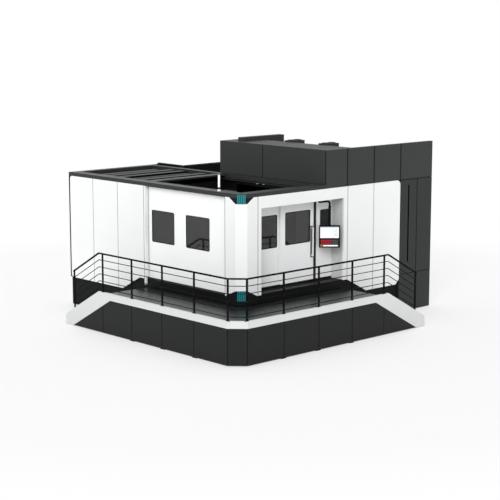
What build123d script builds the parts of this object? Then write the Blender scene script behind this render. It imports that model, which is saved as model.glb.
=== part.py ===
from build123d import *

import os
from math import cos, radians, sin, sqrt, tan

os.makedirs("parts", exist_ok=True)

# Large vertical mill-turn machining centre: an enclosed machine with a turning table,
# a travelling column and a ram with a swivelling head, and an L-shaped operator platform.
# Millimetres. +X runs along the operator's front, +Y along the loading side, +Z up.
# Plan distances are measured from the corner where the platform's two outer faces would meet,
# and the origin is on the floor in the middle of the footprint.

# Footprint and levels
front_length = 8730
side_length = 8588
walkway = 1584
wing_width = 3230
rear_depth = 7500
deck_level = 970
panel_top = 3634
roof_depth = 98
tower_top = 4611
sunken_roof = 4200
floor_gap = 20

# Sheet metal
sheet = 3
fold = 50
seam = 8
tower_seam = 22
running_gap = 0.3
fit_gap = 0.3

corner_x = -front_length / 2
corner_y = -side_length / 2
roof_top = panel_top + roof_depth


def level(z):
    """Horizontal sketch plane at height z."""
    return Plane(origin=(corner_x, corner_y, z))


def facing_front(y):
    """Upright sketch plane at depth y. Its normal points out of the front."""
    return Plane(origin=(corner_x, corner_y + y, 0), x_dir=(1, 0, 0), z_dir=(0, -1, 0))


def facing_side(x):
    """Upright sketch plane at distance x. Its normal points into the machine, along +X."""
    return Plane(origin=(corner_x + x, corner_y, 0), x_dir=(0, 1, 0), z_dir=(1, 0, 0))


def area(start, end, mode=Mode.ADD):
    """Rectangle between two opposite corners."""
    width, height = end[0] - start[0], end[1] - start[1]
    with Locations((start[0] + width / 2, start[1] + height / 2)):
        Rectangle(width, height, mode=mode)


def outline(*points, mode=Mode.ADD):
    """Straight-sided face through the points."""
    Polygon(*points, align=None, mode=mode)


def block(start, end, mode=Mode.ADD):
    """Box between two opposite corners, measured in plan from the platform's corner."""
    with BuildSketch(level(start[2])) as base:
        area(start[:2], end[:2])
    extrude(base.sketch, amount=end[2] - start[2], mode=mode)


def fold_panels(sketch, depth, thickness=sheet):
    """Extrude the sketch's faces into panels and hollow each one out from behind."""
    extrude(amount=depth)
    into = sketch.workplanes[0].z_dir * (1 if depth > 0 else -1)
    for face in sketch.sketch.faces():
        hollow = offset(face, amount=-thickness, kind=Kind.INTERSECTION, mode=Mode.PRIVATE)
        shifted = hollow.moved(Location(into * thickness))
        extrude(shifted, amount=abs(depth), dir=into, mode=Mode.SUBTRACT)


def cut_seams(places, bottom, top, gap=seam):
    """Cut upright seams out of a wall's sketch."""
    for place in places:
        area((place - gap / 2, bottom), (place + gap / 2, top), mode=Mode.SUBTRACT)


def round_far_corner(sketch, radius):
    """Round the top corner at the far end of a wall's sketch."""
    fillet(sketch.vertices().group_by(Axis.X)[-1].sort_by(Axis.Y)[-1], radius)


def save(part, name):
    """Label a finished piece and write it."""
    part.label = name
    export_step(part, f"parts/{name}.step")


# Enclosure planes, from the outside in
frame_face = walkway + fold
frame_back = frame_face + fold
door_step = 120
loading_face = walkway + door_step
loading_back = loading_face + fold
recess_depth = 433
operator_face = walkway + recess_depth
operator_back = operator_face + fold
door_clearance = 10
fixed_face = operator_back + door_clearance
fixed_back = fixed_face + fold

# Seams and openings along the two faces
column_seam = 2155
chamfer_front = 216
chamfer_side = 191
loading_end = 5240
jamb_width = 60
jamb_bottom = 1030
loading_seams = (6410, 7490)
surround_end = 5350
recess_left = 2270
recess_right = 5210
operator_seam = 6357
panel_end = 7418
recess_top = 3340
ceiling_level = 3400
sill_level = 1200
upstand = 50
panel_high = 1190
panel_low = 800
loading_slope_start = 5500
panel_slope_run = 740
end_chamfer = 130
corner_round = 130
tower_left = 4560
tower_back = 5640
tower_side_seam = 3945
tower_bays = (770, 1027, 1061, 1312)
wing_right = walkway + wing_width
bay_scale = (front_length - tower_left) / sum(tower_bays)
tower_front_seams = [
    tower_left + bay_scale * sum(tower_bays[:count]) for count in range(1, len(tower_bays))
]

# Frame behind the panels
base_top = 160
skirt_top = 1240
head_height = 60
post_size = 60

# Windows and doors
window_width = 892
window_height = 828
window_round = 38
loading_window_sill = 2183
loading_window_lefts = (2858, 4216)
operator_window_sill = 2240
operator_window_left = 3514
fixed_window_left = 2388
fixed_window_sill = 2210
narrow_window_left = 4776
narrow_window_width = 330
narrow_window_height = 820
glass_thickness = 10
glass_inset = 14
loading_door_left = 2165
loading_door_overlap = 46
door_lip = 10
operator_door_left = 3345
operator_door_right = 4534
fixed_panel_overlap = 15
seal_width = 90
rail_depth = 15
loading_rail_depth = 30
handle_x = 4455
handle_bottom = 1837
handle_top = 2636
handle_radius = 17
handle_reach = 66
handle_stud_radius = 14
handle_stud_inset = 50

# Operator platform
platform_chamfer = 340
post_pitch = 1175.5
post_bays = 4
band_height = 174
toe_height = 100
band_depth = 60
band_sheet = 5
stair_angle = 29.05
peak_past_post = 159
stringer_width = 384
stringer_run = 1429
stringer_round = 120
cladding_set_back = 8
cladding_seam = 14
deck_sheet = 6
deck_gap = 8
beam_height = 84
beam_width = 60
leg_size = 60
foot_plate = 160
foot_plate_thickness = 8
tie_height = 60
step_count = 5
tread_thickness = 40
stair_plate = 10
stair_clearance = 14
tread_gap = 6

# Guardrail
guard_height = 1100
rail_post_width = 60
rail_post_thickness = 14
rail_post_inset = 23
top_rail = 36
mid_rail_height = 18
mid_rail_thickness = 8
mid_rail_count = 5
mid_rail_pitch = 180
end_post_reach = 1215

band_top = deck_level + toe_height
band_bottom = band_top - band_height
last_post = platform_chamfer + post_pitch * post_bays
stair_top = last_post + peak_past_post
stringer_end = stair_top + stringer_run
slope = tan(radians(stair_angle))
step_rise = deck_level / step_count
step_going = step_rise / slope
rail_level = deck_level + guard_height
diagonal = Plane(origin=(corner_x, corner_y, 0), z_dir=(1, -1, 0))

# Work table: a heavy turning and milling table on a round base
table_x = 3100
table_y = 3700
table_radius = 900
table_level = 1500
table_thickness = 238
table_rim_chamfer = 12
table_bore = 55
slot_width = 28
slot_depth = 34
slot_foot_width = 50
slot_foot_height = 22
slot_pitch = 280
slot_count = 6
base_radius = 780
bearing_outer = 700
bearing_inner = 610
bearing_height = 12
base_bore = 490
base_flange = 70
base_flange_height = 60
bed_level = 600
foot_height = 30
foot_size = 150

table_underside = table_level - table_thickness
table_base_top = table_underside - bearing_height - running_gap

with BuildPart() as rotary_table:
    with BuildSketch(level(table_underside)):
        with Locations((table_x, table_y)):
            Circle(table_radius)
            Circle(table_bore, mode=Mode.SUBTRACT)
    extrude(amount=table_thickness)
    rims = rotary_table.edges().filter_by(GeomType.CIRCLE).group_by(Axis.Z)[-1]
    chamfer(rims.sort_by(SortBy.RADIUS)[-1], table_rim_chamfer)
    with BuildSketch(facing_side(table_x - table_radius)):
        with Locations((table_y, table_level)):
            with GridLocations(slot_pitch, 0, slot_count, 1):
                with Locations((0, -slot_depth / 2)):
                    Rectangle(slot_width, slot_depth)
                with Locations((0, -slot_depth - slot_foot_height / 2)):
                    Rectangle(slot_foot_width, slot_foot_height)
    extrude(amount=2 * table_radius, mode=Mode.SUBTRACT)
save(rotary_table.part, "rotary_table")

with BuildPart() as table_base:
    with BuildSketch(level(bed_level)):
        with Locations((table_x, table_y)):
            Circle(base_radius)
            Circle(base_bore, mode=Mode.SUBTRACT)
    extrude(amount=table_base_top - bed_level)
    with BuildSketch(level(table_base_top)):
        with Locations((table_x, table_y)):
            Circle(bearing_outer)
            Circle(bearing_inner, mode=Mode.SUBTRACT)
    extrude(amount=bearing_height)
    with BuildSketch(level(bed_level)):
        with Locations((table_x, table_y)):
            Circle(base_radius + base_flange)
            Circle(base_radius, mode=Mode.SUBTRACT)
    extrude(amount=base_flange_height)
save(table_base.part, "table_base")

# Machine bed: one casting under the table and the column's ways
conveyor_left = 1800
conveyor_width = 350
bed_left = conveyor_left + conveyor_width + fit_gap
bed_front = 2750
bed_back = 4650
column_bed_left = 5400
column_bed_right = 6900
column_bed_front = 1760
column_bed_back = 5560
pocket_depth = 90
pocket_height = 300
pocket_width = 420
pocket_rib = 140
bed_pockets = 5

with BuildPart() as machine_bed:
    with BuildSketch(level(foot_height)):
        area((bed_left, bed_front), (column_bed_left + pocket_depth, bed_back))
        area((column_bed_left, column_bed_front), (column_bed_right, column_bed_back))
    extrude(amount=bed_level - foot_height)
    pocket_place = ((bed_left + column_bed_left) / 2, (bed_level + foot_height) / 2)
    for wall, into in ((bed_front, -pocket_depth), (bed_back, pocket_depth)):
        with BuildSketch(facing_front(wall)):
            with Locations(pocket_place):
                with GridLocations(pocket_width + pocket_rib, 0, bed_pockets, 1):
                    Rectangle(pocket_width, pocket_height)
        extrude(amount=into, mode=Mode.SUBTRACT)
save(machine_bed.part, "machine_bed")

foot_edge = 200

with BuildPart() as levelling_feet:
    with BuildSketch(level(0)):
        with Locations(((bed_left + column_bed_left) / 2, (bed_front + bed_back) / 2)):
            with GridLocations(
                (column_bed_left - bed_left) / 2 - foot_edge, bed_back - bed_front - 2 * foot_edge, 3, 2
            ):
                Rectangle(foot_size, foot_size)
        with Locations(
            ((column_bed_left + column_bed_right) / 2, (column_bed_front + column_bed_back) / 2)
        ):
            with GridLocations(
                column_bed_right - column_bed_left - 2 * foot_edge,
                (column_bed_back - column_bed_front - 2 * foot_edge) / 3,
                2,
                4,
            ):
                Rectangle(foot_size, foot_size)
    extrude(amount=foot_height)
save(levelling_feet.part, "levelling_feet")

# Travelling column: twin uprights on rails, with the headstock between them
column_y = table_y
column_left = 5500
column_depth = 1000
column_half_width = 800
upright_width = 320
column_base_height = 300
column_headroom = 100
column_top = sunken_roof - column_headroom
column_beam_height = 300
column_pockets = 4
column_pocket_width = 700
column_pocket_height = 640
column_pocket_pitch = 800
way_width = 60
way_height = 50
way_inset = 150
carriage_width = 150
carriage_height = 78
carriage_length = 300
carriage_lift = 10
screw_radius = 40
screw_block = 70
bed_margin = 30
nut_half = 85
nut_length = 200

way_top = bed_level + way_height
column_underside = bed_level + carriage_height
column_base_top = column_underside + column_base_height
way_places = (column_left + way_inset, column_left + column_depth - way_inset)
column_middle = column_left + column_depth / 2
screw_level = bed_level + screw_block
way_start = column_bed_front + bed_margin
way_end = column_bed_back - bed_margin

with BuildPart() as column_guides:
    for place in way_places:
        block((place - way_width / 2, way_start, bed_level), (place + way_width / 2, way_end, way_top))
    for end in (way_start, way_end - screw_block):
        block(
            (column_middle - screw_block, end, bed_level),
            (column_middle + screw_block, end + screw_block, screw_level + screw_block),
        )
    with BuildSketch(facing_front(way_start + screw_block)):
        with Locations((column_middle, screw_level)):
            Circle(screw_radius)
    extrude(amount=-(way_end - way_start - 2 * screw_block))
save(column_guides.part, "column_guides")

with BuildPart() as column:
    footprint = (
        (column_left, column_y - column_half_width),
        (column_left + column_depth, column_y + column_half_width),
    )
    with BuildSketch(level(column_underside)):
        area(*footprint)
    extrude(amount=column_base_height)
    with BuildSketch(level(column_base_top)):
        area(*footprint)
        area(
            (column_left, column_y - column_half_width + upright_width),
            (column_left + column_depth, column_y + column_half_width - upright_width),
            mode=Mode.SUBTRACT,
        )
    extrude(amount=column_top - column_base_top)
    with BuildSketch(level(column_top - column_beam_height)):
        area(*footprint)
    extrude(amount=column_beam_height)
    for side in (-1, 1):
        with BuildSketch(facing_front(column_y + side * column_half_width)):
            with Locations((column_middle, (column_base_top + column_top) / 2)):
                with GridLocations(0, column_pocket_pitch, 1, column_pockets):
                    Rectangle(column_pocket_width, column_pocket_height)
        extrude(amount=side * pocket_depth, mode=Mode.SUBTRACT)
    for place in way_places:
        for end in (footprint[0][1], footprint[1][1] - carriage_length):
            with BuildSketch(facing_front(end)):
                area(
                    (place - carriage_width / 2, bed_level + carriage_lift),
                    (place + carriage_width / 2, column_underside),
                )
                area(
                    (place - way_width / 2 - running_gap, bed_level),
                    (place + way_width / 2 + running_gap, way_top + running_gap),
                    mode=Mode.SUBTRACT,
                )
            extrude(amount=-carriage_length)
    with BuildSketch(facing_front(footprint[0][1])):
        area(
            (column_middle - nut_half, column_underside),
            (column_middle + nut_half, screw_level + nut_half),
        )
    extrude(amount=-2 * column_half_width, mode=Mode.SUBTRACT)
    with BuildSketch(facing_front(column_y - nut_length / 2)):
        area(
            (column_middle - nut_half, bed_level + carriage_lift),
            (column_middle + nut_half, screw_level + nut_half),
        )
        with Locations((column_middle, screw_level)):
            Circle(screw_radius + running_gap, mode=Mode.SUBTRACT)
    extrude(amount=-nut_length)
save(column.part, "column")

# Headstock on the column's front, with a square ram that carries the milling head
ram_level = 2900
rail_width = 60
rail_height = 40
rail_offset = column_half_width - upright_width / 2
rail_bottom = 1000
rail_end_inset = 40
rail_top_level = column_top - rail_end_inset
lift_screw_radius = 25
lift_screw_offset = 560
lift_screw_reach = 100
lift_block = 70
plate_half_width = 760
plate_half_height = 500
plate_thickness = 195
plate_clearance = 5
body_length = 800
body_half_width = 450
body_half_height = 400
ram_size = 450
ram_length = 2750
ram_front = 4250
ram_chamfer = 20

with BuildPart() as headstock_guides:
    for side in (-1, 1):
        rail_y = column_y + side * rail_offset
        block(
            (column_left - rail_height, rail_y - rail_width / 2, rail_bottom),
            (column_left, rail_y + rail_width / 2, rail_top_level),
        )
        screw_y = column_y + side * lift_screw_offset
        for end in (rail_bottom, rail_top_level - lift_block):
            block(
                (column_left - lift_screw_reach - lift_block / 2, screw_y - lift_block / 2, end),
                (column_left, screw_y + lift_block / 2, end + lift_block),
            )
        with BuildSketch(level(rail_bottom + lift_block)):
            with Locations((column_left - lift_screw_reach, screw_y)):
                Circle(lift_screw_radius)
        extrude(amount=rail_top_level - rail_bottom - 2 * lift_block)
save(headstock_guides.part, "headstock_guides")

plate_back = column_left - plate_clearance
plate_front = plate_back - plate_thickness

with BuildPart() as headstock:
    with BuildSketch(facing_side(plate_front)):
        with Locations((column_y, ram_level)):
            Rectangle(2 * plate_half_width, 2 * plate_half_height)
    extrude(amount=plate_thickness)
    with BuildSketch(facing_side(plate_back)):
        with Locations((column_y, ram_level)):
            Rectangle(2 * body_half_width, 2 * body_half_height)
    extrude(amount=body_length)
    with BuildSketch(facing_side(plate_front)):
        with Locations((column_y, ram_level)):
            Rectangle(ram_size + 2 * running_gap, ram_size + 2 * running_gap)
    extrude(amount=plate_thickness + body_length, mode=Mode.SUBTRACT)
    for side in (-1, 1):
        rail_y = column_y + side * rail_offset
        block(
            (column_left - rail_height - running_gap, rail_y - rail_width / 2 - running_gap, rail_bottom),
            (column_left, rail_y + rail_width / 2 + running_gap, rail_top_level),
            mode=Mode.SUBTRACT,
        )
        with BuildSketch(level(rail_bottom)):
            with Locations((column_left - lift_screw_reach, column_y + side * lift_screw_offset)):
                Circle(lift_screw_radius + running_gap)
        extrude(amount=rail_top_level - rail_bottom, mode=Mode.SUBTRACT)
save(headstock.part, "headstock")

with BuildPart() as ram:
    with BuildSketch(facing_side(ram_front)):
        with Locations((column_y, ram_level)):
            Rectangle(ram_size, ram_size)
    extrude(amount=ram_length)
    chamfer(ram.faces().sort_by(Axis.X)[0].edges(), ram_chamfer)
save(ram.part, "ram")

# Swivelling milling head with its spindle and cutter
head_flange = 205
head_flange_depth = 60
head_radius = 150
head_below = 330
head_above = 250
neck_half_width = 140
neck_half_height = 190
neck_length = 90
spindle_radius = 60
spindle_depth = 200
spindle_clearance = 4
spindle_nose = 110
nose_height = 50
cutter_radius = 63
cutter_height = 60
cutter_reach = 180
arbor_radius = 30
taper_depth = 90
taper_clearance = 10
taper_angle = 8
insert_count = 6
insert_pocket = 14

head_face = ram_front - running_gap
head_x = head_face - head_flange_depth - head_radius - neck_length
head_bottom = ram_level - head_below
nose_top = head_bottom - running_gap
nose_bottom = nose_top - nose_height

with BuildPart() as milling_head:
    with BuildSketch(facing_side(head_face)):
        with Locations((column_y, ram_level)):
            Circle(head_flange)
    extrude(amount=-head_flange_depth)
    with BuildSketch(facing_side(head_face - head_flange_depth)):
        with Locations((column_y, ram_level)):
            Rectangle(2 * neck_half_width, 2 * neck_half_height)
    extrude(amount=head_x - head_face + head_flange_depth)
    with BuildSketch(level(head_bottom)):
        with Locations((head_x, column_y)):
            Circle(head_radius)
    extrude(amount=head_below + head_above)
    with BuildSketch(level(head_bottom)):
        with Locations((head_x, column_y)):
            Circle(spindle_radius + running_gap)
    extrude(amount=spindle_depth, mode=Mode.SUBTRACT)
save(milling_head.part, "milling_head")

with BuildPart() as spindle:
    with BuildSketch(level(nose_bottom)):
        with Locations((head_x, column_y)):
            Circle(spindle_nose)
    extrude(amount=nose_height)
    with BuildSketch(level(nose_top)):
        with Locations((head_x, column_y)):
            Circle(spindle_radius)
    extrude(amount=spindle_depth - spindle_clearance)
    with BuildSketch(level(nose_bottom)):
        with Locations((head_x, column_y)):
            Circle(arbor_radius + fit_gap)
    extrude(amount=taper_depth, taper=taper_angle, mode=Mode.SUBTRACT)
save(spindle.part, "spindle")

with BuildPart() as face_mill:
    with BuildSketch(level(nose_bottom - fit_gap)):
        with Locations((head_x, column_y)):
            Circle(arbor_radius)
    extrude(amount=taper_depth - taper_clearance, taper=taper_angle)
    with BuildSketch(level(nose_bottom - cutter_reach)):
        with Locations((head_x, column_y)):
            Circle(arbor_radius)
    extrude(amount=cutter_reach - fit_gap)
    with BuildSketch(level(nose_bottom - cutter_reach)):
        with Locations((head_x, column_y)):
            Circle(cutter_radius)
            with PolarLocations(cutter_radius, insert_count):
                Rectangle(insert_pocket, insert_pocket, mode=Mode.SUBTRACT)
    extrude(amount=cutter_height)
save(face_mill.part, "face_mill")

# Tool magazine: a disc with its tools on a stand behind the column
magazine_setback = 1830
magazine_x = front_length - magazine_setback
magazine_y = 6330
magazine_level = 1950
magazine_radius = 850
magazine_thickness = 60
tool_circle = 760
tool_count = 8
tool_radius = 45
tool_flange = 62
tool_flange_depth = 30
tool_length = 190
hub_radius = 60
hub_flange = 130
hub_flange_depth = 40
stand_width = 700
stand_depth = 300
stand_neck = 260
stand_beam_height = 120

with BuildPart() as magazine_disc:
    with BuildSketch(facing_front(magazine_y)):
        with Locations((magazine_x, magazine_level)):
            Circle(magazine_radius)
            Circle(hub_radius + running_gap, mode=Mode.SUBTRACT)
            with PolarLocations(tool_circle, tool_count):
                Circle(tool_radius + fit_gap, mode=Mode.SUBTRACT)
    extrude(amount=-magazine_thickness)
save(magazine_disc.part, "magazine_disc")

with BuildPart() as magazine_tools:
    for start, radius, length in (
        (magazine_y + magazine_thickness, tool_radius, magazine_thickness + tool_length),
        (magazine_y, tool_flange, tool_flange_depth),
    ):
        with BuildSketch(facing_front(start)):
            with Locations((magazine_x, magazine_level)):
                with PolarLocations(tool_circle, tool_count):
                    Circle(radius)
        extrude(amount=length)
save(magazine_tools.part, "magazine_tools")

stand_face = magazine_y + magazine_thickness + running_gap

with BuildPart() as magazine_stand:
    with BuildSketch(facing_front(stand_face + hub_flange_depth)):
        outline(
            (magazine_x - stand_width / 2, 0),
            (magazine_x + stand_width / 2, 0),
            (magazine_x + stand_neck / 2, magazine_level + hub_flange),
            (magazine_x - stand_neck / 2, magazine_level + hub_flange),
        )
    extrude(amount=-stand_depth)
    block(
        (magazine_x - stand_neck / 2, column_bed_back + fit_gap, 0),
        (magazine_x + stand_neck / 2, stand_face + hub_flange_depth, stand_beam_height),
    )
    with BuildSketch(facing_front(stand_face + hub_flange_depth)):
        with Locations((magazine_x, magazine_level)):
            Circle(hub_flange)
    extrude(amount=hub_flange_depth)
    with BuildSketch(facing_front(stand_face)):
        with Locations((magazine_x, magazine_level)):
            Circle(hub_radius)
    extrude(amount=magazine_thickness + running_gap)
save(magazine_stand.part, "magazine_stand")

# Chip conveyor beside the table, and the coolant tank in the rear wing
conveyor_start = 2200
conveyor_bottom = 250
conveyor_depth = 400
conveyor_bend = 6200
conveyor_end = 8200
conveyor_rise = 850
conveyor_wall = 8
tank_start = (conveyor_left + conveyor_width + fit_gap, 5700)
tank_end = (4300, 7300)
tank_bottom = 60
tank_top = 700
pump_radius = 90
pump_height = 420

with BuildPart() as chip_conveyor:
    with BuildSketch(facing_side(conveyor_left)):
        outline(
            (conveyor_start, conveyor_bottom),
            (conveyor_bend, conveyor_bottom),
            (conveyor_end, conveyor_bottom + conveyor_rise),
            (conveyor_end, conveyor_bottom + conveyor_rise + conveyor_depth),
            (conveyor_bend, conveyor_bottom + conveyor_depth),
            (conveyor_start, conveyor_bottom + conveyor_depth),
        )
    extrude(amount=conveyor_width)
    block(
        (conveyor_left + conveyor_wall, conveyor_start + conveyor_wall, conveyor_bottom + conveyor_wall),
        (
            conveyor_left + conveyor_width - conveyor_wall,
            conveyor_bend - conveyor_wall,
            conveyor_bottom + conveyor_depth,
        ),
        mode=Mode.SUBTRACT,
    )
    for place in (conveyor_start + conveyor_width, conveyor_bend - conveyor_width):
        block(
            (conveyor_left, place, 0),
            (conveyor_left + conveyor_width, place + conveyor_wall, conveyor_bottom),
        )
    block(
        (conveyor_left, conveyor_end - conveyor_wall, 0),
        (conveyor_left + conveyor_width, conveyor_end, conveyor_bottom + conveyor_rise),
    )
save(chip_conveyor.part, "chip_conveyor")

with BuildPart() as coolant_tank:
    block((*tank_start, tank_bottom), (*tank_end, tank_top))
    pump_middle = ((tank_start[0] + tank_end[0]) / 2, (tank_start[1] + tank_end[1]) / 2)
    with BuildSketch(level(0)):
        with Locations(pump_middle):
            with GridLocations(
                tank_end[0] - tank_start[0] - foot_size, tank_end[1] - tank_start[1] - foot_size, 2, 2
            ):
                Rectangle(foot_size, foot_size)
    extrude(amount=tank_bottom)
    with BuildSketch(level(tank_top)):
        with Locations(pump_middle):
            with GridLocations(4 * pump_radius, 0, 3, 1):
                Circle(pump_radius)
    extrude(amount=pump_height)
save(coolant_tank.part, "coolant_tank")

# Walls round the work area, with an opening for the ram
partition_x = 4440
wall_sheet = 6
work_wall_start = fixed_back + wall_sheet
work_wall_end = 5290
work_floor = 880
work_ceiling = 3560
ram_window_half_width = 1140
ram_window_bottom = 1840
ram_window_top = 3490
pan_left = 2200

with BuildPart() as work_area_walls:
    with BuildSketch(level(work_floor)):
        area((pan_left, work_wall_start), (partition_x + wall_sheet, work_wall_end))
        with Locations((table_x, table_y)):
            Circle(base_radius, mode=Mode.SUBTRACT)
    extrude(amount=wall_sheet)
    wall_bottom = work_floor + wall_sheet + fit_gap
    window_start = column_y - ram_window_half_width
    window_end = column_y + ram_window_half_width
    for start, end, bottom, top in (
        (work_wall_start, window_start - fit_gap, wall_bottom, work_ceiling),
        (window_end + fit_gap, work_wall_end - wall_sheet - fit_gap, wall_bottom, work_ceiling),
        (window_start, window_end, wall_bottom, ram_window_bottom),
        (window_start, window_end, ram_window_top, work_ceiling),
    ):
        block((partition_x, start, bottom), (partition_x + wall_sheet, end, top))
    block(
        (conveyor_left, work_wall_end - wall_sheet, wall_bottom),
        (partition_x + wall_sheet, work_wall_end, work_ceiling),
    )
save(work_area_walls.part, "work_area_walls")


# Enclosure frame: dark base and skirts, posts behind the seams and a head rail
def wall_frame(start, end, posts, top=base_top):
    """Base, head rail and posts behind one straight wall, each a member of its own."""
    block((*start, floor_gap), (*end, top))
    block((*start, panel_top - head_height), (*end, panel_top))
    along_x = end[0] - start[0] > end[1] - start[1]
    for post in posts:
        low = (post, start[1]) if along_x else (start[0], post)
        high = (post + post_size, end[1]) if along_x else (end[0], post + post_size)
        block((*low, top + fit_gap), (*high, panel_top - head_height - fit_gap))


def corner_points(inset):
    """Ends of the chamfered corner's face, each wall moved in by inset."""
    length = sqrt(chamfer_front**2 + chamfer_side**2)
    side = walkway + chamfer_side + inset * (length - chamfer_side) / chamfer_front
    front = walkway + chamfer_front + inset * (length - chamfer_front) / chamfer_side
    return (walkway + inset, side), (front, walkway + inset)


corner_end = column_seam - seam / 2
frame_right = front_length - fold - post_size
frame_rear = rear_depth - fold - post_size
frame_wing = wing_right - fold - post_size
frame_end = side_length - fold - post_size
cabinet_rear = 2400
tower_gap = 6
tower_bottom = panel_top + tower_gap
roof_strip_end = 5600
unit_width = 480
unit_depth = 300
unit_height = 444
unit_places = (2600, 3880)
duct_start = (4820, 4990)
duct_end = (6380, 5190)
duct_height = 105

tower_inner = tower_left + fold
tower_right_inner = front_length - fold
tower_back_inner = tower_back - fold
tower_base = (panel_top + fit_gap, roof_top + fold)
tower_head = (tower_top - sheet - post_size, tower_top - sheet)
low_head = (sunken_roof - post_size, sunken_roof)
low_wall_top = sunken_roof + sheet
right_posts = (3000, 4100, 5200, 6300)
rear_posts = (5900, 7000)
wing_posts = (2650, 3650)

with BuildPart() as enclosure_frame:
    with BuildSketch(level(floor_gap)):
        outline(
            (frame_face, corner_end),
            *corner_points(fold),
            (corner_end, frame_face),
            (corner_end, frame_back),
            *reversed(corner_points(2 * fold)),
            (frame_back, corner_end),
        )
    extrude(amount=panel_top - floor_gap)
    block((frame_face, corner_end + fit_gap, floor_gap), (frame_back, loading_end - fit_gap, sill_level))
    wall_frame(
        (frame_face, loading_end),
        (frame_back, side_length - corner_round - fit_gap),
        [loading_end] + [place - post_size / 2 for place in loading_seams],
        skirt_top,
    )
    block((frame_face, side_length - corner_round, floor_gap), (frame_back, side_length, panel_top))
    block((corner_end + fit_gap, frame_face, floor_gap), (recess_right + wall_sheet, frame_back, sill_level))
    block(
        (corner_end + fit_gap, frame_face, panel_top - head_height),
        (recess_right + wall_sheet, frame_back, panel_top),
    )
    block(
        (recess_left - 2 * wall_sheet - post_size, frame_face, sill_level + fit_gap),
        (recess_left - 2 * wall_sheet, frame_back, panel_top - head_height - fit_gap),
    )
    wall_frame(
        (recess_right + wall_sheet + fit_gap, frame_face),
        (panel_end - corner_round + fold - fit_gap, frame_back),
        (recess_right + wall_sheet + fit_gap, operator_seam - post_size / 2),
        skirt_top,
    )
    block(
        (panel_end - corner_round + fold, frame_face, floor_gap),
        (panel_end + seam, frame_back, panel_top),
    )
    block(
        (recess_left - wall_sheet, frame_back + fit_gap, sill_level - wall_sheet),
        (recess_right + wall_sheet, work_wall_start - fit_gap, sill_level),
    )
    block(
        (recess_left, operator_face, sill_level + fit_gap),
        (recess_right, operator_back, sill_level + upstand - fit_gap),
    )
    wall_frame((frame_right, cabinet_rear), (frame_right + post_size, frame_rear - fit_gap), right_posts)
    wall_frame((frame_wing, frame_rear), (frame_right + post_size, frame_rear + post_size), rear_posts)
    wall_frame(
        (frame_wing, frame_rear + post_size + fit_gap), (frame_wing + post_size, frame_end - fit_gap), ()
    )
    wall_frame((frame_back + fit_gap, frame_end), (frame_wing + post_size, frame_end + post_size), wing_posts)
    tower_rear_row = tower_back_inner - post_size
    tower_right_row = tower_right_inner - post_size
    for y in (frame_face, tower_rear_row):
        block((tower_inner, y, tower_base[0]), (tower_right_inner, y + post_size, tower_base[1]))
    block(
        (tower_inner, frame_face, tower_head[0]),
        (tower_right_inner, frame_face + post_size, tower_head[1]),
    )
    block(
        (tower_inner, tower_rear_row, tower_head[0]),
        (roof_strip_end, tower_back_inner, tower_head[1]),
    )
    block(
        (roof_strip_end + fit_gap, tower_rear_row, low_head[0]),
        (tower_right_inner, tower_back_inner, low_head[1]),
    )
    for x, (bottom, top) in (
        (tower_inner, tower_base),
        (tower_right_row, tower_base),
        (tower_inner, tower_head),
        (roof_strip_end - post_size, low_head),
        (tower_right_row, low_head),
    ):
        block(
            (x, frame_face + post_size + fit_gap, bottom),
            (x + post_size, tower_rear_row - fit_gap, top),
        )
    seam_posts = [place - post_size / 2 for place in tower_front_seams]
    for x in (tower_inner, *seam_posts, tower_right_row):
        for y, head in ((frame_face, tower_head), (tower_rear_row, low_head)):
            if x < roof_strip_end:
                head = tower_head
            block((x, y, tower_base[1] + fit_gap), (x + post_size, y + post_size, head[0] - fit_gap))
    block(
        (roof_strip_end - post_size, tower_rear_row, tower_base[1] + fit_gap),
        (roof_strip_end, tower_back_inner, tower_head[0] - fit_gap),
    )
save(enclosure_frame.part, "enclosure_frame")

# White panels of the loading side
jamb_end = loading_end + jamb_width

with BuildPart() as loading_side_panels:
    with BuildSketch(facing_side(walkway)) as loading_sheets:
        outline(
            (jamb_end + seam, panel_high),
            (loading_slope_start, panel_high),
            (loading_slope_start + panel_slope_run, panel_low),
            (side_length - end_chamfer, panel_low),
            (side_length, panel_low + end_chamfer),
            (side_length, panel_top),
            (jamb_end + seam, panel_top),
        )
        round_far_corner(loading_sheets, corner_round)
        cut_seams(loading_seams, 0, panel_top)
        area((loading_end, jamb_bottom), (jamb_end, panel_top))
    fold_panels(loading_sheets, fold)
save(loading_side_panels.part, "loading_side_panels")


def windows(lefts, sill, width=window_width, height=window_height, clearance=0.0, mode=Mode.SUBTRACT):
    """Rounded window shapes of one wall, shrunk by the clearance."""
    for left in lefts:
        with Locations((left + width / 2, sill + height / 2)):
            RectangleRounded(
                width - 2 * clearance, height - 2 * clearance, window_round - clearance, mode=mode
            )


loading_door_right = loading_end + loading_door_overlap
loading_rail_bottom = panel_top - loading_rail_depth

with BuildPart() as loading_door:
    with BuildSketch(facing_side(loading_face)) as leaf:
        area(
            (loading_door_left, sill_level + door_lip),
            (loading_door_right, loading_rail_bottom - running_gap),
        )
        windows(loading_window_lefts, loading_window_sill)
    fold_panels(leaf, fold)
save(loading_door.part, "loading_door")

with BuildPart() as loading_door_glass:
    with BuildSketch(facing_side(loading_face + glass_inset)):
        windows(loading_window_lefts, loading_window_sill, clearance=fit_gap, mode=Mode.ADD)
    extrude(amount=glass_thickness)
save(loading_door_glass.part, "loading_door_glass")

# Corner column: a folded cover between dark caps, and ribbed inserts on its chamfer
cap_low = 3487
cap_high = 3735
foot_cap_bottom = 985
foot_cap_shoulder = 1180
foot_cap_top = 1350
insert_width = 205
insert_base = 4
insert_rib = 9
insert_rib_width = 30
insert_rib_count = 5
insert_top = 3720
insert_bottom = 1080

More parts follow.
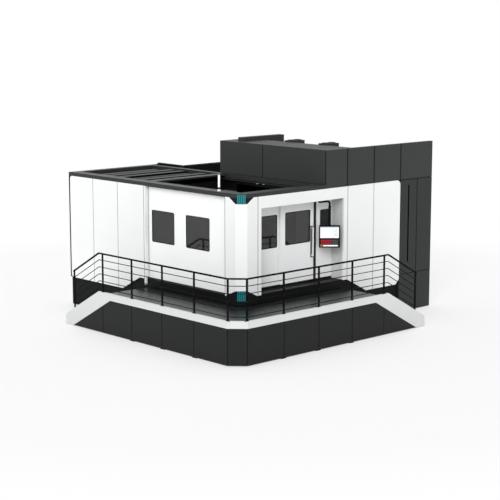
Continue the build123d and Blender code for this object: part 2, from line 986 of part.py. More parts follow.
chamfer_start, chamfer_finish = corner_points(0)
chamfer_middle = ((chamfer_start[0] + chamfer_finish[0]) / 2, (chamfer_start[1] + chamfer_finish[1]) / 2)
chamfer_plane = Plane(
    origin=(corner_x + chamfer_middle[0], corner_y + chamfer_middle[1], 0),
    x_dir=(chamfer_front, -chamfer_side, 0),
    z_dir=(-chamfer_side, -chamfer_front, 0),
)


def corner_shell(bottom, top, thickness):
    """Folded sheet round the corner column, with a return at each seam."""
    outer = ((walkway, corner_end), *corner_points(0), (corner_end, walkway))
    inner = (
        (corner_end - thickness, walkway + thickness),
        *reversed(corner_points(thickness)),
        (walkway + thickness, corner_end - thickness),
    )
    with BuildSketch(level(bottom)) as profile:
        outline(
            *outer,
            (corner_end, frame_face),
            (corner_end - thickness, frame_face),
            *inner,
            (frame_face, corner_end - thickness),
            (frame_face, corner_end),
        )
    extrude(profile.sketch, amount=top - bottom)


with BuildPart() as cap_space:
    for plane, start, depth in (
        (facing_front(walkway), walkway + chamfer_front, -fold),
        (facing_side(walkway), walkway + chamfer_side, fold),
    ):
        with BuildSketch(plane):
            outline((start, cap_low), (corner_end, cap_high), (start, cap_high))
            outline(
                (start, foot_cap_bottom),
                (corner_end, foot_cap_bottom),
                (corner_end, foot_cap_shoulder),
                (start, foot_cap_top),
            )
        extrude(amount=depth)
    corner_square = (walkway + chamfer_front, walkway + chamfer_side)
    block((walkway, walkway, cap_low), (*corner_square, cap_high))
    block((walkway, walkway, foot_cap_bottom), (*corner_square, foot_cap_top))

with BuildPart() as corner_cover:
    corner_shell(foot_cap_bottom, panel_top, sheet)
    add(cap_space.part, mode=Mode.SUBTRACT)
save(corner_cover.part, "corner_cover")

with BuildPart() as corner_caps:
    corner_shell(foot_cap_bottom, panel_top, sheet)
    add(cap_space.part, mode=Mode.INTERSECT)
save(corner_caps.part, "corner_caps")

insert_rib_pitch = (insert_width - insert_rib_width) / (insert_rib_count - 1)

with BuildPart() as corner_ribs:
    for low, high in ((cap_low, insert_top), (insert_bottom, foot_cap_top)):
        with BuildSketch(chamfer_plane):
            with Locations((0, (low + high) / 2)):
                Rectangle(insert_width, high - low)
        extrude(amount=insert_base)
        with BuildSketch(chamfer_plane.offset(insert_base)):
            with Locations((0, (low + high) / 2)):
                with GridLocations(insert_rib_pitch, 0, insert_rib_count, 1):
                    Rectangle(insert_rib_width, high - low)
        extrude(amount=insert_rib)
save(corner_ribs.part, "corner_ribs")

# Operator's recess: surround, lining, fixed panels and the sliding door
surround_left = column_seam + seam / 2

with BuildPart() as operator_surround:
    with BuildSketch(facing_front(walkway)) as surround:
        area((surround_left, recess_top), (surround_end, panel_top))
        area((surround_left, panel_high), (recess_left, recess_top - fit_gap))
        area((recess_right, panel_high), (surround_end, recess_top - fit_gap))
    fold_panels(surround, -fold)
save(operator_surround.part, "operator_surround")

bracket_radius = 60
bracket_depth = 30
pendant_pivot = (4397, 1700)
door_top = ceiling_level - rail_depth
door_bottom = sill_level + upstand

with BuildPart() as recess_lining:
    block(
        (recess_left - wall_sheet, frame_face, ceiling_level),
        (recess_right + wall_sheet, work_wall_start, ceiling_level + wall_sheet),
    )
    for place in (recess_left - wall_sheet, recess_right):
        block(
            (place, frame_face, sill_level + fit_gap),
            (place + wall_sheet, work_wall_start, ceiling_level - fit_gap),
        )
    block(
        (recess_left + fit_gap, operator_face, door_top + running_gap),
        (recess_right - fit_gap, operator_back, ceiling_level - fit_gap),
    )
    with BuildSketch(level(ceiling_level - bracket_depth)):
        with Locations(pendant_pivot):
            Circle(bracket_radius)
    extrude(amount=bracket_depth)
save(recess_lining.part, "recess_lining")

fixed_panel_right = operator_door_left + fixed_panel_overlap
seal_left = operator_door_right + running_gap
seal_right = operator_door_right + seal_width

with BuildPart() as fixed_door_panels:
    with BuildSketch(facing_front(fixed_face)) as left_fixed:
        area((recess_left, sill_level), (fixed_panel_right, ceiling_level - fit_gap))
        windows((fixed_window_left,), fixed_window_sill)
    fold_panels(left_fixed, -fold)
    with BuildSketch(facing_front(operator_face)) as right_fixed:
        area((seal_right, door_bottom), (recess_right, door_top))
        windows((narrow_window_left,), fixed_window_sill, narrow_window_width, narrow_window_height)
    fold_panels(right_fixed, -fold)
save(fixed_door_panels.part, "fixed_door_panels")

with BuildPart() as fixed_glass:
    with BuildSketch(facing_front(fixed_face + glass_inset)):
        windows((fixed_window_left,), fixed_window_sill, clearance=fit_gap, mode=Mode.ADD)
    extrude(amount=-glass_thickness)
    with BuildSketch(facing_front(operator_face + glass_inset)):
        windows(
            (narrow_window_left,),
            fixed_window_sill,
            narrow_window_width,
            narrow_window_height,
            fit_gap,
            Mode.ADD,
        )
    extrude(amount=-glass_thickness)
save(fixed_glass.part, "fixed_glass")

with BuildPart() as operator_door:
    with BuildSketch(facing_front(operator_face)) as door_leaf:
        area((operator_door_left, door_bottom), (operator_door_right, door_top))
        windows((operator_window_left,), operator_window_sill)
    fold_panels(door_leaf, -fold)
save(operator_door.part, "operator_door")

with BuildPart() as operator_door_glass:
    with BuildSketch(facing_front(operator_face + glass_inset)):
        windows((operator_window_left,), operator_window_sill, clearance=fit_gap, mode=Mode.ADD)
    extrude(amount=-glass_thickness)
save(operator_door_glass.part, "operator_door_glass")

with BuildPart() as operator_door_handle:
    with BuildSketch(level(handle_bottom)):
        with Locations((handle_x, operator_face - handle_reach)):
            Circle(handle_radius)
    extrude(amount=handle_top - handle_bottom)
    with BuildSketch(facing_front(operator_face)):
        for place in (handle_bottom + handle_stud_inset, handle_top - handle_stud_inset):
            with Locations((handle_x, place)):
                Circle(handle_stud_radius)
    extrude(amount=handle_reach)
save(operator_door_handle.part, "operator_door_handle")

with BuildPart() as operator_door_seal:
    block(
        (seal_left, operator_face - wall_sheet, door_bottom),
        (seal_right - fit_gap, operator_back + wall_sheet, door_top),
    )
save(operator_door_seal.part, "operator_door_seal")

# White panels to the right of the recess
with BuildPart() as operator_side_panels:
    with BuildSketch(facing_front(walkway)) as operator_sheets:
        outline(
            (surround_end + seam, panel_high),
            (surround_end + seam + panel_slope_run, panel_low),
            (panel_end - end_chamfer, panel_low),
            (panel_end, panel_low + end_chamfer),
            (panel_end, panel_top),
            (surround_end + seam, panel_top),
        )
        round_far_corner(operator_sheets, corner_round)
        cut_seams((operator_seam,), 0, panel_top)
    fold_panels(operator_sheets, -fold)
save(operator_side_panels.part, "operator_side_panels")

# Electrical cabinet at the right-hand end of the front
cabinet_left = 7440
cabinet_right = 8670
cabinet_front = 1640
cabinet_bottom = 1047
cabinet_top = 3632
cabinet_sheet = 4
cabinet_door_left_start = 7427
cabinet_door_split = 8117
cabinet_door_gap = 10
cabinet_door_end = 8728
cabinet_door_bottom = 1050
cabinet_door_top = 3629
hinge_inset = 12
pin_radius = 8
pin_reach = 8
bracket_lap = 30
bracket_height = 9
grip_left = 7740
grip_right = 7800
grip_bottom = 1370
grip_top = 3480
grip_depth = 12
grip_pad = 15
drive_width = 110
drive_height = 420
drive_depth = 200
drive_columns = 8
drive_rows = 3
drive_pitch_x = 132
drive_pitch_z = 720
mounting_plate = 12

bracket_bottom = cabinet_door_bottom - running_gap - bracket_height
hinge_places = (
    (cabinet_door_left_start + hinge_inset, walkway + hinge_inset),
    (cabinet_door_end - hinge_inset, walkway + hinge_inset),
)


def hinge_pins(radius, reach):
    """Sketches of the hinge pins at both doors, below and above."""
    for bottom in (cabinet_door_bottom - running_gap, cabinet_door_top + running_gap - reach):
        with BuildSketch(level(bottom)) as pins:
            with Locations(*hinge_places):
                Circle(radius)
        extrude(pins.sketch, amount=reach)


with BuildPart() as cabinet_body:
    block((cabinet_left, frame_face, floor_gap), (cabinet_right, cabinet_rear, cabinet_bottom - fit_gap))
    block(
        (cabinet_left + cabinet_sheet, frame_face + cabinet_sheet, floor_gap),
        (cabinet_right - cabinet_sheet, cabinet_rear - cabinet_sheet, cabinet_bottom - cabinet_sheet),
        mode=Mode.SUBTRACT,
    )
    block((cabinet_left, cabinet_front, cabinet_bottom), (cabinet_right, cabinet_rear, cabinet_top))
    block(
        (cabinet_left + cabinet_sheet, cabinet_front, cabinet_bottom + cabinet_sheet),
        (cabinet_right - cabinet_sheet, cabinet_rear - cabinet_sheet, cabinet_top - cabinet_sheet),
        mode=Mode.SUBTRACT,
    )
    for start, end in (
        (cabinet_door_left_start, cabinet_left + bracket_lap),
        (cabinet_right - bracket_lap, cabinet_door_end),
    ):
        block((start, walkway, bracket_bottom), (end, frame_face, bracket_bottom + bracket_height))
        block((start, walkway, cabinet_door_top + running_gap), (end, cabinet_front, panel_top))
    for start in (cabinet_left, cabinet_right - bracket_lap):
        block(
            (start, cabinet_front, cabinet_door_top + running_gap),
            (start + bracket_lap, cabinet_front + bracket_lap, panel_top),
        )
    hinge_pins(pin_radius, pin_reach)
    with BuildSketch(facing_front(walkway)) as plinth:
        area(
            (cabinet_door_left_start, floor_gap),
            (cabinet_door_end, bracket_bottom - fit_gap),
        )
    fold_panels(plinth, -fold)
save(cabinet_body.part, "cabinet_body")

for name, start, end in (
    ("cabinet_door_left", cabinet_door_left_start, cabinet_door_split - cabinet_door_gap / 2),
    ("cabinet_door_right", cabinet_door_split + cabinet_door_gap / 2, cabinet_door_end),
):
    with BuildPart() as cabinet_door:
        with BuildSketch(facing_front(walkway)) as door_sheet:
            area((start, cabinet_door_bottom), (end, cabinet_door_top))
        fold_panels(door_sheet, -fold)
        if start < grip_left < end:
            block(
                (grip_left - grip_pad, walkway + sheet, grip_bottom - grip_pad),
                (grip_right + grip_pad, walkway + sheet + grip_pad, grip_top + grip_pad),
            )
            block(
                (grip_left, walkway, grip_bottom),
                (grip_right, walkway + grip_depth, grip_top),
                mode=Mode.SUBTRACT,
            )
        with BuildSketch(level(cabinet_door_bottom)):
            with Locations(*hinge_places):
                Circle(pin_radius + running_gap)
        extrude(amount=sheet, mode=Mode.SUBTRACT)
        with BuildSketch(level(cabinet_door_top - sheet)):
            with Locations(*hinge_places):
                Circle(pin_radius + running_gap)
        extrude(amount=sheet, mode=Mode.SUBTRACT)
    save(cabinet_door.part, name)

with BuildPart() as cabinet_drives:
    inner_rear = cabinet_rear - cabinet_sheet
    cabinet_middle = ((cabinet_left + cabinet_right) / 2, (cabinet_bottom + cabinet_top) / 2)
    block(
        (cabinet_left + 2 * pin_radius, inner_rear - mounting_plate, cabinet_bottom + fold),
        (cabinet_right - 2 * pin_radius, inner_rear, cabinet_top - fold),
    )
    with BuildSketch(facing_front(inner_rear - mounting_plate)):
        with Locations(cabinet_middle):
            with GridLocations(drive_pitch_x, drive_pitch_z, drive_columns, drive_rows):
                Rectangle(drive_width, drive_height)
    extrude(amount=drive_depth)
save(cabinet_drives.part, "cabinet_drives")

# Tower over the column: panels and the roof with its units
with BuildPart() as tower_panels:
    with BuildSketch(facing_front(walkway)) as tower_front:
        area((tower_left, tower_bottom), (front_length, tower_top))
        cut_seams(tower_front_seams, 0, tower_top, tower_seam)
    fold_panels(tower_front, -fold)
    with BuildSketch(facing_side(tower_left)) as tower_side:
        area((frame_face + fit_gap, roof_top + tower_gap), (tower_back, tower_top))
        cut_seams((tower_side_seam,), 0, tower_top, seam)
    fold_panels(tower_side, fold)
    with BuildSketch(facing_front(tower_back)) as tower_rear:
        area((tower_inner + fit_gap, roof_top + tower_gap), (front_length, low_wall_top))
        area((tower_inner + fit_gap, roof_top + tower_gap), (roof_strip_end, tower_top))
        cut_seams(tower_front_seams, 0, tower_top, tower_seam)
    fold_panels(tower_rear, fold)
    with BuildSketch(facing_side(front_length)) as tower_end:
        area((frame_face + fit_gap, tower_bottom), (tower_back_inner - fit_gap, low_wall_top))
        area((frame_face + fit_gap, tower_bottom), (frame_face + post_size, tower_top))
        cut_seams((tower_side_seam,), 0, tower_top, seam)
    fold_panels(tower_end, -fold)
save(tower_panels.part, "tower_panels")

with BuildPart() as tower_roof:
    well_front = frame_face + post_size + fit_gap
    well_back = tower_back_inner - post_size - fit_gap
    well_floor = sunken_roof + sheet + fit_gap
    block(
        (tower_inner + fit_gap, frame_face + fit_gap, tower_head[1]),
        (roof_strip_end, tower_back_inner - fit_gap, tower_top),
    )
    block(
        (roof_strip_end - sheet, well_front, well_floor),
        (roof_strip_end, well_back, tower_head[1] - fit_gap),
    )
    block(
        (roof_strip_end - post_size, well_front, sunken_roof),
        (tower_right_inner - fit_gap, well_back, sunken_roof + sheet),
    )
    block(
        (roof_strip_end + fit_gap, well_front, well_floor),
        (tower_right_inner - fit_gap, well_front + sheet, tower_head[1] - fit_gap),
    )
    block(
        (roof_strip_end + fit_gap, frame_face + fit_gap, tower_head[1]),
        (tower_right_inner - fit_gap, well_front + sheet, tower_top),
    )
    for place in unit_places:
        block(
            (roof_strip_end + fit_gap, place, well_floor),
            (roof_strip_end + unit_width, place + unit_depth, sunken_roof + sheet + unit_height),
        )
    block((*duct_start, tower_top + fit_gap), (roof_strip_end, duct_end[1], tower_top + duct_height))
    block(
        (roof_strip_end + fit_gap, duct_start[1], well_floor),
        (*duct_end, tower_top + duct_height),
    )
save(tower_roof.part, "tower_roof")

# Rear, right-hand and wing walls
wall_panel_bottom = 120
rear_seams = (5930, 7030)
wing_seams = (2680, 3680)
right_seams = (3030, 4130, 5230, 6330)
vent_width = 500
vent_height = 14
vent_pitch = 44
vent_count = 7
vent_level = 3100

with BuildPart() as rear_panels:
    with BuildSketch(facing_front(side_length)) as wing_wall:
        area((frame_back + fit_gap, wall_panel_bottom), (wing_right, panel_top))
        cut_seams(wing_seams, 0, panel_top)
    fold_panels(wing_wall, fold)
    with BuildSketch(facing_side(wing_right)) as wing_side:
        area((rear_depth + fit_gap, wall_panel_bottom), (side_length - fold - fit_gap, panel_top))
    fold_panels(wing_side, -fold)
    with BuildSketch(facing_front(rear_depth)) as rear_wall:
        area((wing_right - fold, wall_panel_bottom), (front_length, panel_top))
        cut_seams(rear_seams, 0, panel_top)
        with Locations(((rear_seams[1] + front_length) / 2, vent_level)):
            with GridLocations(0, vent_pitch, 1, vent_count):
                Rectangle(vent_width, vent_height, mode=Mode.SUBTRACT)
    fold_panels(rear_wall, fold)
    with BuildSketch(facing_side(front_length)) as right_wall:
        area((cabinet_front, wall_panel_bottom), (rear_depth - fold - fit_gap, panel_top))
        cut_seams(right_seams, 0, panel_top)
    fold_panels(right_wall, -fold)
save(rear_panels.part, "rear_panels")

roof_seams = (5950, 7340)

with BuildPart() as rear_roof_panels:
    with BuildSketch(level(roof_top)) as rear_roof:
        area((tower_left + fit_gap, tower_back + fit_gap), (front_length, rear_depth))
        for place in roof_seams:
            area((place - seam / 2, tower_back), (place + seam / 2, rear_depth), mode=Mode.SUBTRACT)
        area((tower_left + fit_gap, rear_depth + fit_gap), (wing_right, side_length))
    fold_panels(rear_roof, -roof_depth)
save(rear_roof_panels.part, "rear_roof_panels")

# Roof over the work area: hollow beams round an opening, and four sliding roof slats
beam_size = 300
right_beam = 160
rear_beam = 200
cross_start = 5220
cross_end = 5480
cross_depth = 42
roof_sheet = 6
slat_width = 900
slat_depth = 35
slat_count = 4
slat_parked_pitch = 670
slat_parked_start = 5470
ledge_web = 6
ledge_thickness = 9
lower_ledge_reach = 80
upper_ledge_reach = 40
lower_slat_level = 3600
upper_slat_level = 3645
slat_end_gap = 8
slat_ribs = 5
slat_rib_width = 24
slat_rib_height = 6
slat_rib_inset = 60

cell_left = walkway + beam_size
cell_right = tower_left - right_beam
cell_front = walkway + beam_size
cell_back = side_length - rear_beam

with BuildPart() as roof_frame:
    with BuildSketch(level(roof_top)) as beams:
        outline(
            *corner_points(0),
            (tower_left, walkway),
            (tower_left, cell_front),
            (walkway, cell_front),
        )
        area((walkway, cell_front + fit_gap), (cell_left, cell_back - fit_gap))
        area((cell_right, cell_front + fit_gap), (tower_left, cell_back - fit_gap))
        area((walkway, cell_back), (tower_left, side_length))
    fold_panels(beams, -roof_depth, roof_sheet)
    block(
        (cell_left + ledge_web + 2 * fit_gap, cross_start, roof_top - cross_depth),
        (cell_right - ledge_web - 2 * fit_gap, cross_end, roof_top),
    )
    block(
        (loading_face, loading_door_left, loading_rail_bottom),
        (loading_back, cell_back, roof_top - roof_sheet - fit_gap),
    )
    for wall, inward in ((cell_left, 1), (cell_right, -1)):
        web = wall + inward * (fit_gap + ledge_web)
        members = (
            (wall + inward * fit_gap, web, lower_slat_level - 2 * ledge_thickness, roof_top - roof_sheet),
            (
                web + inward * fit_gap,
                wall + inward * lower_ledge_reach,
                lower_slat_level - ledge_thickness,
                lower_slat_level - running_gap,
            ),
            (
                web + inward * fit_gap,
                wall + inward * upper_ledge_reach,
                upper_slat_level - ledge_thickness,
                upper_slat_level - running_gap,
            ),
        )
        for near, far, bottom, top in members:
            block(
                (min(near, far), cell_front + seam, bottom),
                (max(near, far), cell_back - seam, top),
            )
save(roof_frame.part, "roof_frame")

for index in range(slat_count):
    upper = index % 2 == 0
    slat_level = upper_slat_level if upper else lower_slat_level
    reach = ledge_web + slat_end_gap / 2 if upper else upper_ledge_reach + slat_end_gap
    slat_start = slat_parked_start + index * slat_parked_pitch
    with BuildPart() as roof_slat:
        with BuildSketch(level(slat_level + slat_depth)) as slat:
            area((cell_left + reach, slat_start), (cell_right - reach, slat_start + slat_width))
        fold_panels(slat, -slat_depth)
        with BuildSketch(level(slat_level + slat_depth)):
            with Locations(((cell_left + cell_right) / 2, slat_start + slat_width / 2)):
                with GridLocations(0, (slat_width - 2 * slat_rib_inset) / (slat_ribs - 1), 1, slat_ribs):
                    Rectangle(cell_right - cell_left - 2 * (reach + slat_rib_inset), slat_rib_width)
        extrude(amount=slat_rib_height)
    save(roof_slat.part, f"roof_slat_{index + 1}")

light_x = 1690
light_y = 2480
light_radius = 27
light_height = 398
light_foot = 40
light_foot_height = 40

with BuildPart() as status_light:
    with BuildSketch(level(roof_top)):
        with Locations((light_x, light_y)):
            Circle(light_foot)
    extrude(amount=light_foot_height)
    with BuildSketch(level(roof_top + light_foot_height)):
        with Locations((light_x, light_y)):
            Circle(light_radius)
    extrude(amount=light_height - light_foot_height)
save(status_light.part, "status_light")

# Control pendant on its swinging arm
arm_radius = 25
arm_level = 3290
arm_reach = 403
arm_bottom = 2680
arm_bend = 90
pendant_level = 2371
pendant_width = 534
pendant_height = 577
pendant_depth = 90
pendant_round = 12
collar_radius = 40
screen_width = 481
screen_height = 300
screen_margin = 30
screen_pocket = 6
screen_thickness = 5
keys_height = 203
keys_margin = 20
keys_pocket = 4
pad_thickness = 3
key_size = 22
key_lift = 3
key_pitch_x = 31
key_pitch_z = 33
key_columns = 13
key_rows = 4
stop_stem = 9
stop_cap = 20
stop_reach = 24
stop_cap_height = 12
stop_chamfer = 3
stop_inset = 32
facing_angle = 43.1

pendant_place = (pendant_pivot[0] + arm_reach, pendant_pivot[1])
pendant_out = (-sin(radians(facing_angle)), -cos(radians(facing_angle)), 0)
pendant_across = (cos(radians(facing_angle)), -sin(radians(facing_angle)), 0)


def pendant_face(depth):
    """Sketch plane of the pendant, set back by depth from its front."""
    middle = Vector(corner_x + pendant_place[0], corner_y + pendant_place[1], pendant_level)
    origin = middle + Vector(pendant_out) * (pendant_depth / 2 - depth)
    return Plane(origin=origin, x_dir=pendant_across, z_dir=pendant_out)


screen_middle = pendant_height / 2 - screen_margin - screen_height / 2
keys_middle = -pendant_height / 2 + keys_margin + keys_height / 2
stop_middle = (-screen_width / 2 + stop_inset, keys_middle - keys_height / 2 + stop_inset)

with BuildPart() as pendant_arm:
    arm_top = ceiling_level - bracket_depth - running_gap
    with BuildLine() as arm_path:
        FilletPolyline(
            (corner_x + pendant_pivot[0], corner_y + pendant_pivot[1], arm_top),
            (corner_x + pendant_pivot[0], corner_y + pendant_pivot[1], arm_level),
            (corner_x + pendant_place[0], corner_y + pendant_place[1], arm_level),
            (corner_x + pendant_place[0], corner_y + pendant_place[1], arm_bottom),
            radius=(arm_bend / 2, arm_bend),
        )
    with BuildSketch(Plane(origin=arm_path.wire() @ 0, z_dir=arm_path.wire() % 0)):
        Circle(arm_radius)
    sweep(path=arm_path.wire())
save(pendant_arm.part, "pendant_arm")

with BuildPart() as pendant_housing:
    with BuildSketch(pendant_face(0)):
        RectangleRounded(pendant_width, pendant_height, pendant_round)
    extrude(amount=-pendant_depth)
    with BuildSketch(pendant_face(0)):
        with Locations((0, screen_middle)):
            Rectangle(screen_width, screen_height)
    extrude(amount=-screen_pocket, mode=Mode.SUBTRACT)
    with BuildSketch(pendant_face(0)):
        with Locations((0, keys_middle)):
            Rectangle(screen_width, keys_height)
    extrude(amount=-keys_pocket, mode=Mode.SUBTRACT)
    with BuildSketch(pendant_face(keys_pocket)):
        with Locations(stop_middle):
            Circle(stop_stem + running_gap)
    extrude(amount=-2 * stop_reach, mode=Mode.SUBTRACT)
    pendant_top = pendant_level + pendant_height / 2
    with BuildSketch(level(pendant_top)):
        with Locations(pendant_place):
            Circle(collar_radius)
    extrude(amount=arm_bottom - pendant_top - running_gap)
save(pendant_housing.part, "pendant_housing")

with BuildPart() as pendant_screen:
    with BuildSketch(pendant_face(screen_pocket)):
        with Locations((0, screen_middle)):
            Rectangle(screen_width - 2 * fit_gap, screen_height - 2 * fit_gap)
    extrude(amount=screen_thickness)
save(pendant_screen.part, "pendant_screen")

with BuildPart() as pendant_keys:
    with BuildSketch(pendant_face(keys_pocket)):
        with Locations((0, keys_middle)):
            Rectangle(screen_width - 2 * fit_gap, keys_height - 2 * fit_gap)
        with Locations(stop_middle):
            Circle(stop_stem + running_gap, mode=Mode.SUBTRACT)
    extrude(amount=pad_thickness)
    with BuildSketch(pendant_face(keys_pocket - pad_thickness)):
        with Locations((key_pitch_x, keys_middle + key_pitch_z / 2)):
            with GridLocations(key_pitch_x, key_pitch_z, key_columns, key_rows):
                Rectangle(key_size, key_size)
    extrude(amount=key_lift)
save(pendant_keys.part, "pendant_keys")

with BuildPart() as emergency_stop:
    with BuildSketch(pendant_face(stop_reach)):
        with Locations(stop_middle):
            Circle(stop_stem)
    extrude(amount=2 * stop_reach - stop_cap_height)
    with BuildSketch(pendant_face(stop_cap_height - stop_reach)):
        with Locations(stop_middle):
            Circle(stop_cap)
    extrude(amount=stop_cap_height)
    chamfer(emergency_stop.edges().filter_by(GeomType.CIRCLE).sort_by(SortBy.RADIUS)[-1], stop_chamfer)
save(emergency_stop.part, "emergency_stop")


# Operator platform: steel frame, deck, dark cladding and a white band with its stair stringers
def line_corner(inset):
    """Distance at which the platform's chamfer meets a line set in from the outer faces."""
    return platform_chamfer + inset * (sqrt(2) - 1)


def stringer_under(z):
    """Distance along the face at which the stringer's lower edge is at height z."""
    return stair_top + (band_top - z) / slope - stringer_width / sin(radians(stair_angle))


def chamfer_strip(near, far, end):
    """Strip along the platform's chamfered corner, between two insets and short of both ends."""
    limit = platform_chamfer - end
    near_cross, far_cross = near * sqrt(2) + end, far * sqrt(2) + end
    return (limit, near_cross), (near_cross, limit), (far_cross, limit), (limit, far_cross)


with BuildPart() as platform_fascia:
    with BuildSketch(facing_front(0)) as band:
        outline(
            (platform_chamfer, band_bottom),
            (stringer_under(band_bottom), band_bottom),
            (stringer_under(0), 0),
            (stringer_end, 0),
            (stringer_end, band_top - stringer_run * slope),
            (stair_top, band_top),
            (platform_chamfer, band_top),
        )
        round_far_corner(band, stringer_round)
    fold_panels(band, -band_depth, band_sheet)
    mirror(about=diagonal)
    for far, bottom, top in (
        (band_sheet, band_bottom, band_top),
        (band_depth, band_bottom, band_bottom + band_sheet),
        (band_depth, band_top - band_sheet, band_top),
    ):
        with BuildSketch(level(bottom)):
            outline(*chamfer_strip(0, far, fit_gap))
        extrude(amount=top - bottom)
save(platform_fascia.part, "platform_fascia")

post_places = [platform_chamfer + post_pitch * index for index in range(post_bays + 1)]

with BuildPart() as cladding_panels:
    with BuildSketch(facing_front(cladding_set_back)) as cladding:
        outline(
            (platform_chamfer, floor_gap),
            (stringer_under(floor_gap) - 2 * fit_gap, floor_gap),
            (stringer_under(band_bottom) - 2 * fit_gap, band_bottom - fit_gap),
            (platform_chamfer, band_bottom - fit_gap),
        )
        cut_seams(post_places, 0, band_top, cladding_seam)
    fold_panels(cladding, -(band_depth - cladding_set_back))
    mirror(about=diagonal)
    with BuildSketch(level(floor_gap)):
        outline(*chamfer_strip(cladding_set_back, band_depth, cladding_seam / 2))
        outline(
            *chamfer_strip(cladding_set_back + sheet, 2 * band_depth, cladding_seam / 2 + sheet),
            mode=Mode.SUBTRACT,
        )
    extrude(amount=band_bottom - fit_gap - floor_gap)
save(cladding_panels.part, "cladding_panels")

deck_edge = walkway - deck_gap
deck_underside = deck_level - deck_sheet
corner_side, corner_front = corner_points(-deck_gap)
deck_corner_front = corner_front[0]
deck_corner_side = corner_side[1]
deck_seams = post_places[2:4]

with BuildPart() as deck_plates:
    with BuildSketch(level(deck_underside)):
        start = deck_corner_front + sheet
        for end in (*deck_seams, stair_top):
            area((start, band_depth), (end - sheet / 2, deck_edge))
            start = end + sheet / 2
    extrude(amount=deck_sheet)
    with BuildSketch(level(deck_underside)):
        start = deck_corner_side + sheet
        for end in (*deck_seams, stair_top):
            area((band_depth, start), (deck_edge, end - sheet / 2))
            start = end + sheet / 2
    extrude(amount=deck_sheet)
    with BuildSketch(level(deck_underside)):
        outline(
            (line_corner(band_depth), band_depth),
            (deck_corner_front, band_depth),
            (deck_corner_front, deck_edge),
            (deck_edge, deck_corner_side),
            (band_depth, deck_corner_side),
            (band_depth, line_corner(band_depth)),
        )
    extrude(amount=deck_sheet)
save(deck_plates.part, "deck_plates")

beam_bottom = deck_underside - beam_height
inner_beam = deck_edge - beam_width - stair_clearance

with BuildPart() as platform_frame:
    block(
        (line_corner(band_depth + beam_width), band_depth, beam_bottom),
        (stringer_under(band_bottom), band_depth + beam_width, deck_underside),
    )
    block(
        (walkway + chamfer_front + beam_width, inner_beam, beam_bottom),
        (stair_top - beam_width - fit_gap, inner_beam + beam_width, deck_underside),
    )
    block(
        (stair_top - beam_width, band_depth + beam_width, beam_bottom),
        (stair_top - fit_gap, inner_beam + beam_width, deck_underside),
    )
    for place in post_places[1:4]:
        on_beam = place > post_places[1]
        inner_end = inner_beam if on_beam else post_places[1] - leg_size
        inner_row = inner_end + beam_width / 2 if on_beam else inner_end - beam_width
        block(
            (place - beam_width / 2, band_depth + beam_width + fit_gap, beam_bottom),
            (place + beam_width / 2, inner_end - fit_gap, deck_underside),
        )
        for row in (band_depth + beam_width / 2, inner_row):
            with BuildSketch(level(0)):
                with Locations((place, row)):
                    Rectangle(foot_plate, foot_plate)
            extrude(amount=foot_plate_thickness)
            with BuildSketch(level(foot_plate_thickness)):
                with Locations((place, row)):
                    Rectangle(leg_size, leg_size)
            extrude(amount=beam_bottom - foot_plate_thickness - fit_gap)
    for place in post_places[2:4]:
        block(
            (place - beam_width / 2, inner_beam + beam_width + fit_gap, beam_bottom),
            (place + beam_width / 2, frame_face, beam_bottom + tie_height),
        )
    mirror(about=diagonal)
save(platform_frame.part, "platform_frame")

stair_inner = inner_beam + beam_width
stair_foot_run = 60

with BuildPart() as stair_treads:
    for place in (band_depth, stair_inner - stair_plate):
        with BuildSketch(facing_front(place)):
            plate_end = stringer_end - stair_foot_run
            plate_foot = stringer_under(0) + stair_foot_run
            outline(
                (stair_top, deck_level - deck_sheet),
                (plate_end, deck_level - deck_sheet - (plate_end - stair_top) * slope),
                (plate_end, 0),
                (plate_foot, 0),
                (stair_top, (plate_foot - stair_top) * slope),
            )
        extrude(amount=-stair_plate)
    for index in range(1, step_count):
        start = stair_top + (step_count - 1 - index) * step_going
        with BuildSketch(facing_front(band_depth + stair_plate + fit_gap)):
            area(
                (start, index * step_rise - tread_thickness),
                (start + step_going - tread_gap, index * step_rise),
            )
        extrude(amount=-(stair_inner - band_depth - 2 * stair_plate - 2 * fit_gap))
    mirror(about=diagonal)
save(stair_treads.part, "stair_treads")

# Guardrail: flat posts on the band, a square handrail and thin rails behind the posts
end_post = last_post + end_post_reach
rail_underside = rail_level - top_rail
band_line = band_top - (end_post - stair_top) * slope
half_post = rail_post_width / 2

with BuildPart() as guardrail_posts:
    for place in post_places:
        block(
            (place - half_post, rail_post_inset, band_top),
            (place + half_post, rail_post_inset + rail_post_thickness, rail_underside),
        )
    with BuildSketch(facing_front(rail_post_inset)):
        drop = rail_underside - band_top - top_rail * (1 / cos(radians(stair_angle)) - 1)
        outline(
            (end_post - half_post, band_line + half_post * slope),
            (end_post + half_post, band_line - half_post * slope),
            (end_post + half_post, band_line - half_post * slope + drop),
            (end_post - half_post, band_line + half_post * slope + drop),
        )
    extrude(amount=-rail_post_thickness)
    mirror(about=diagonal)
save(guardrail_posts.part, "guardrail_posts")

rail_near = rail_post_inset + rail_post_thickness / 2 - top_rail / 2
rail_rows = [(rail_level, top_rail, rail_near, rail_near + top_rail)]
for index in range(1, mid_rail_count + 1):
    row_near = rail_post_inset + rail_post_thickness
    row_level = rail_level - index * mid_rail_pitch
    rail_rows.append((row_level, mid_rail_height, row_near, row_near + mid_rail_thickness))

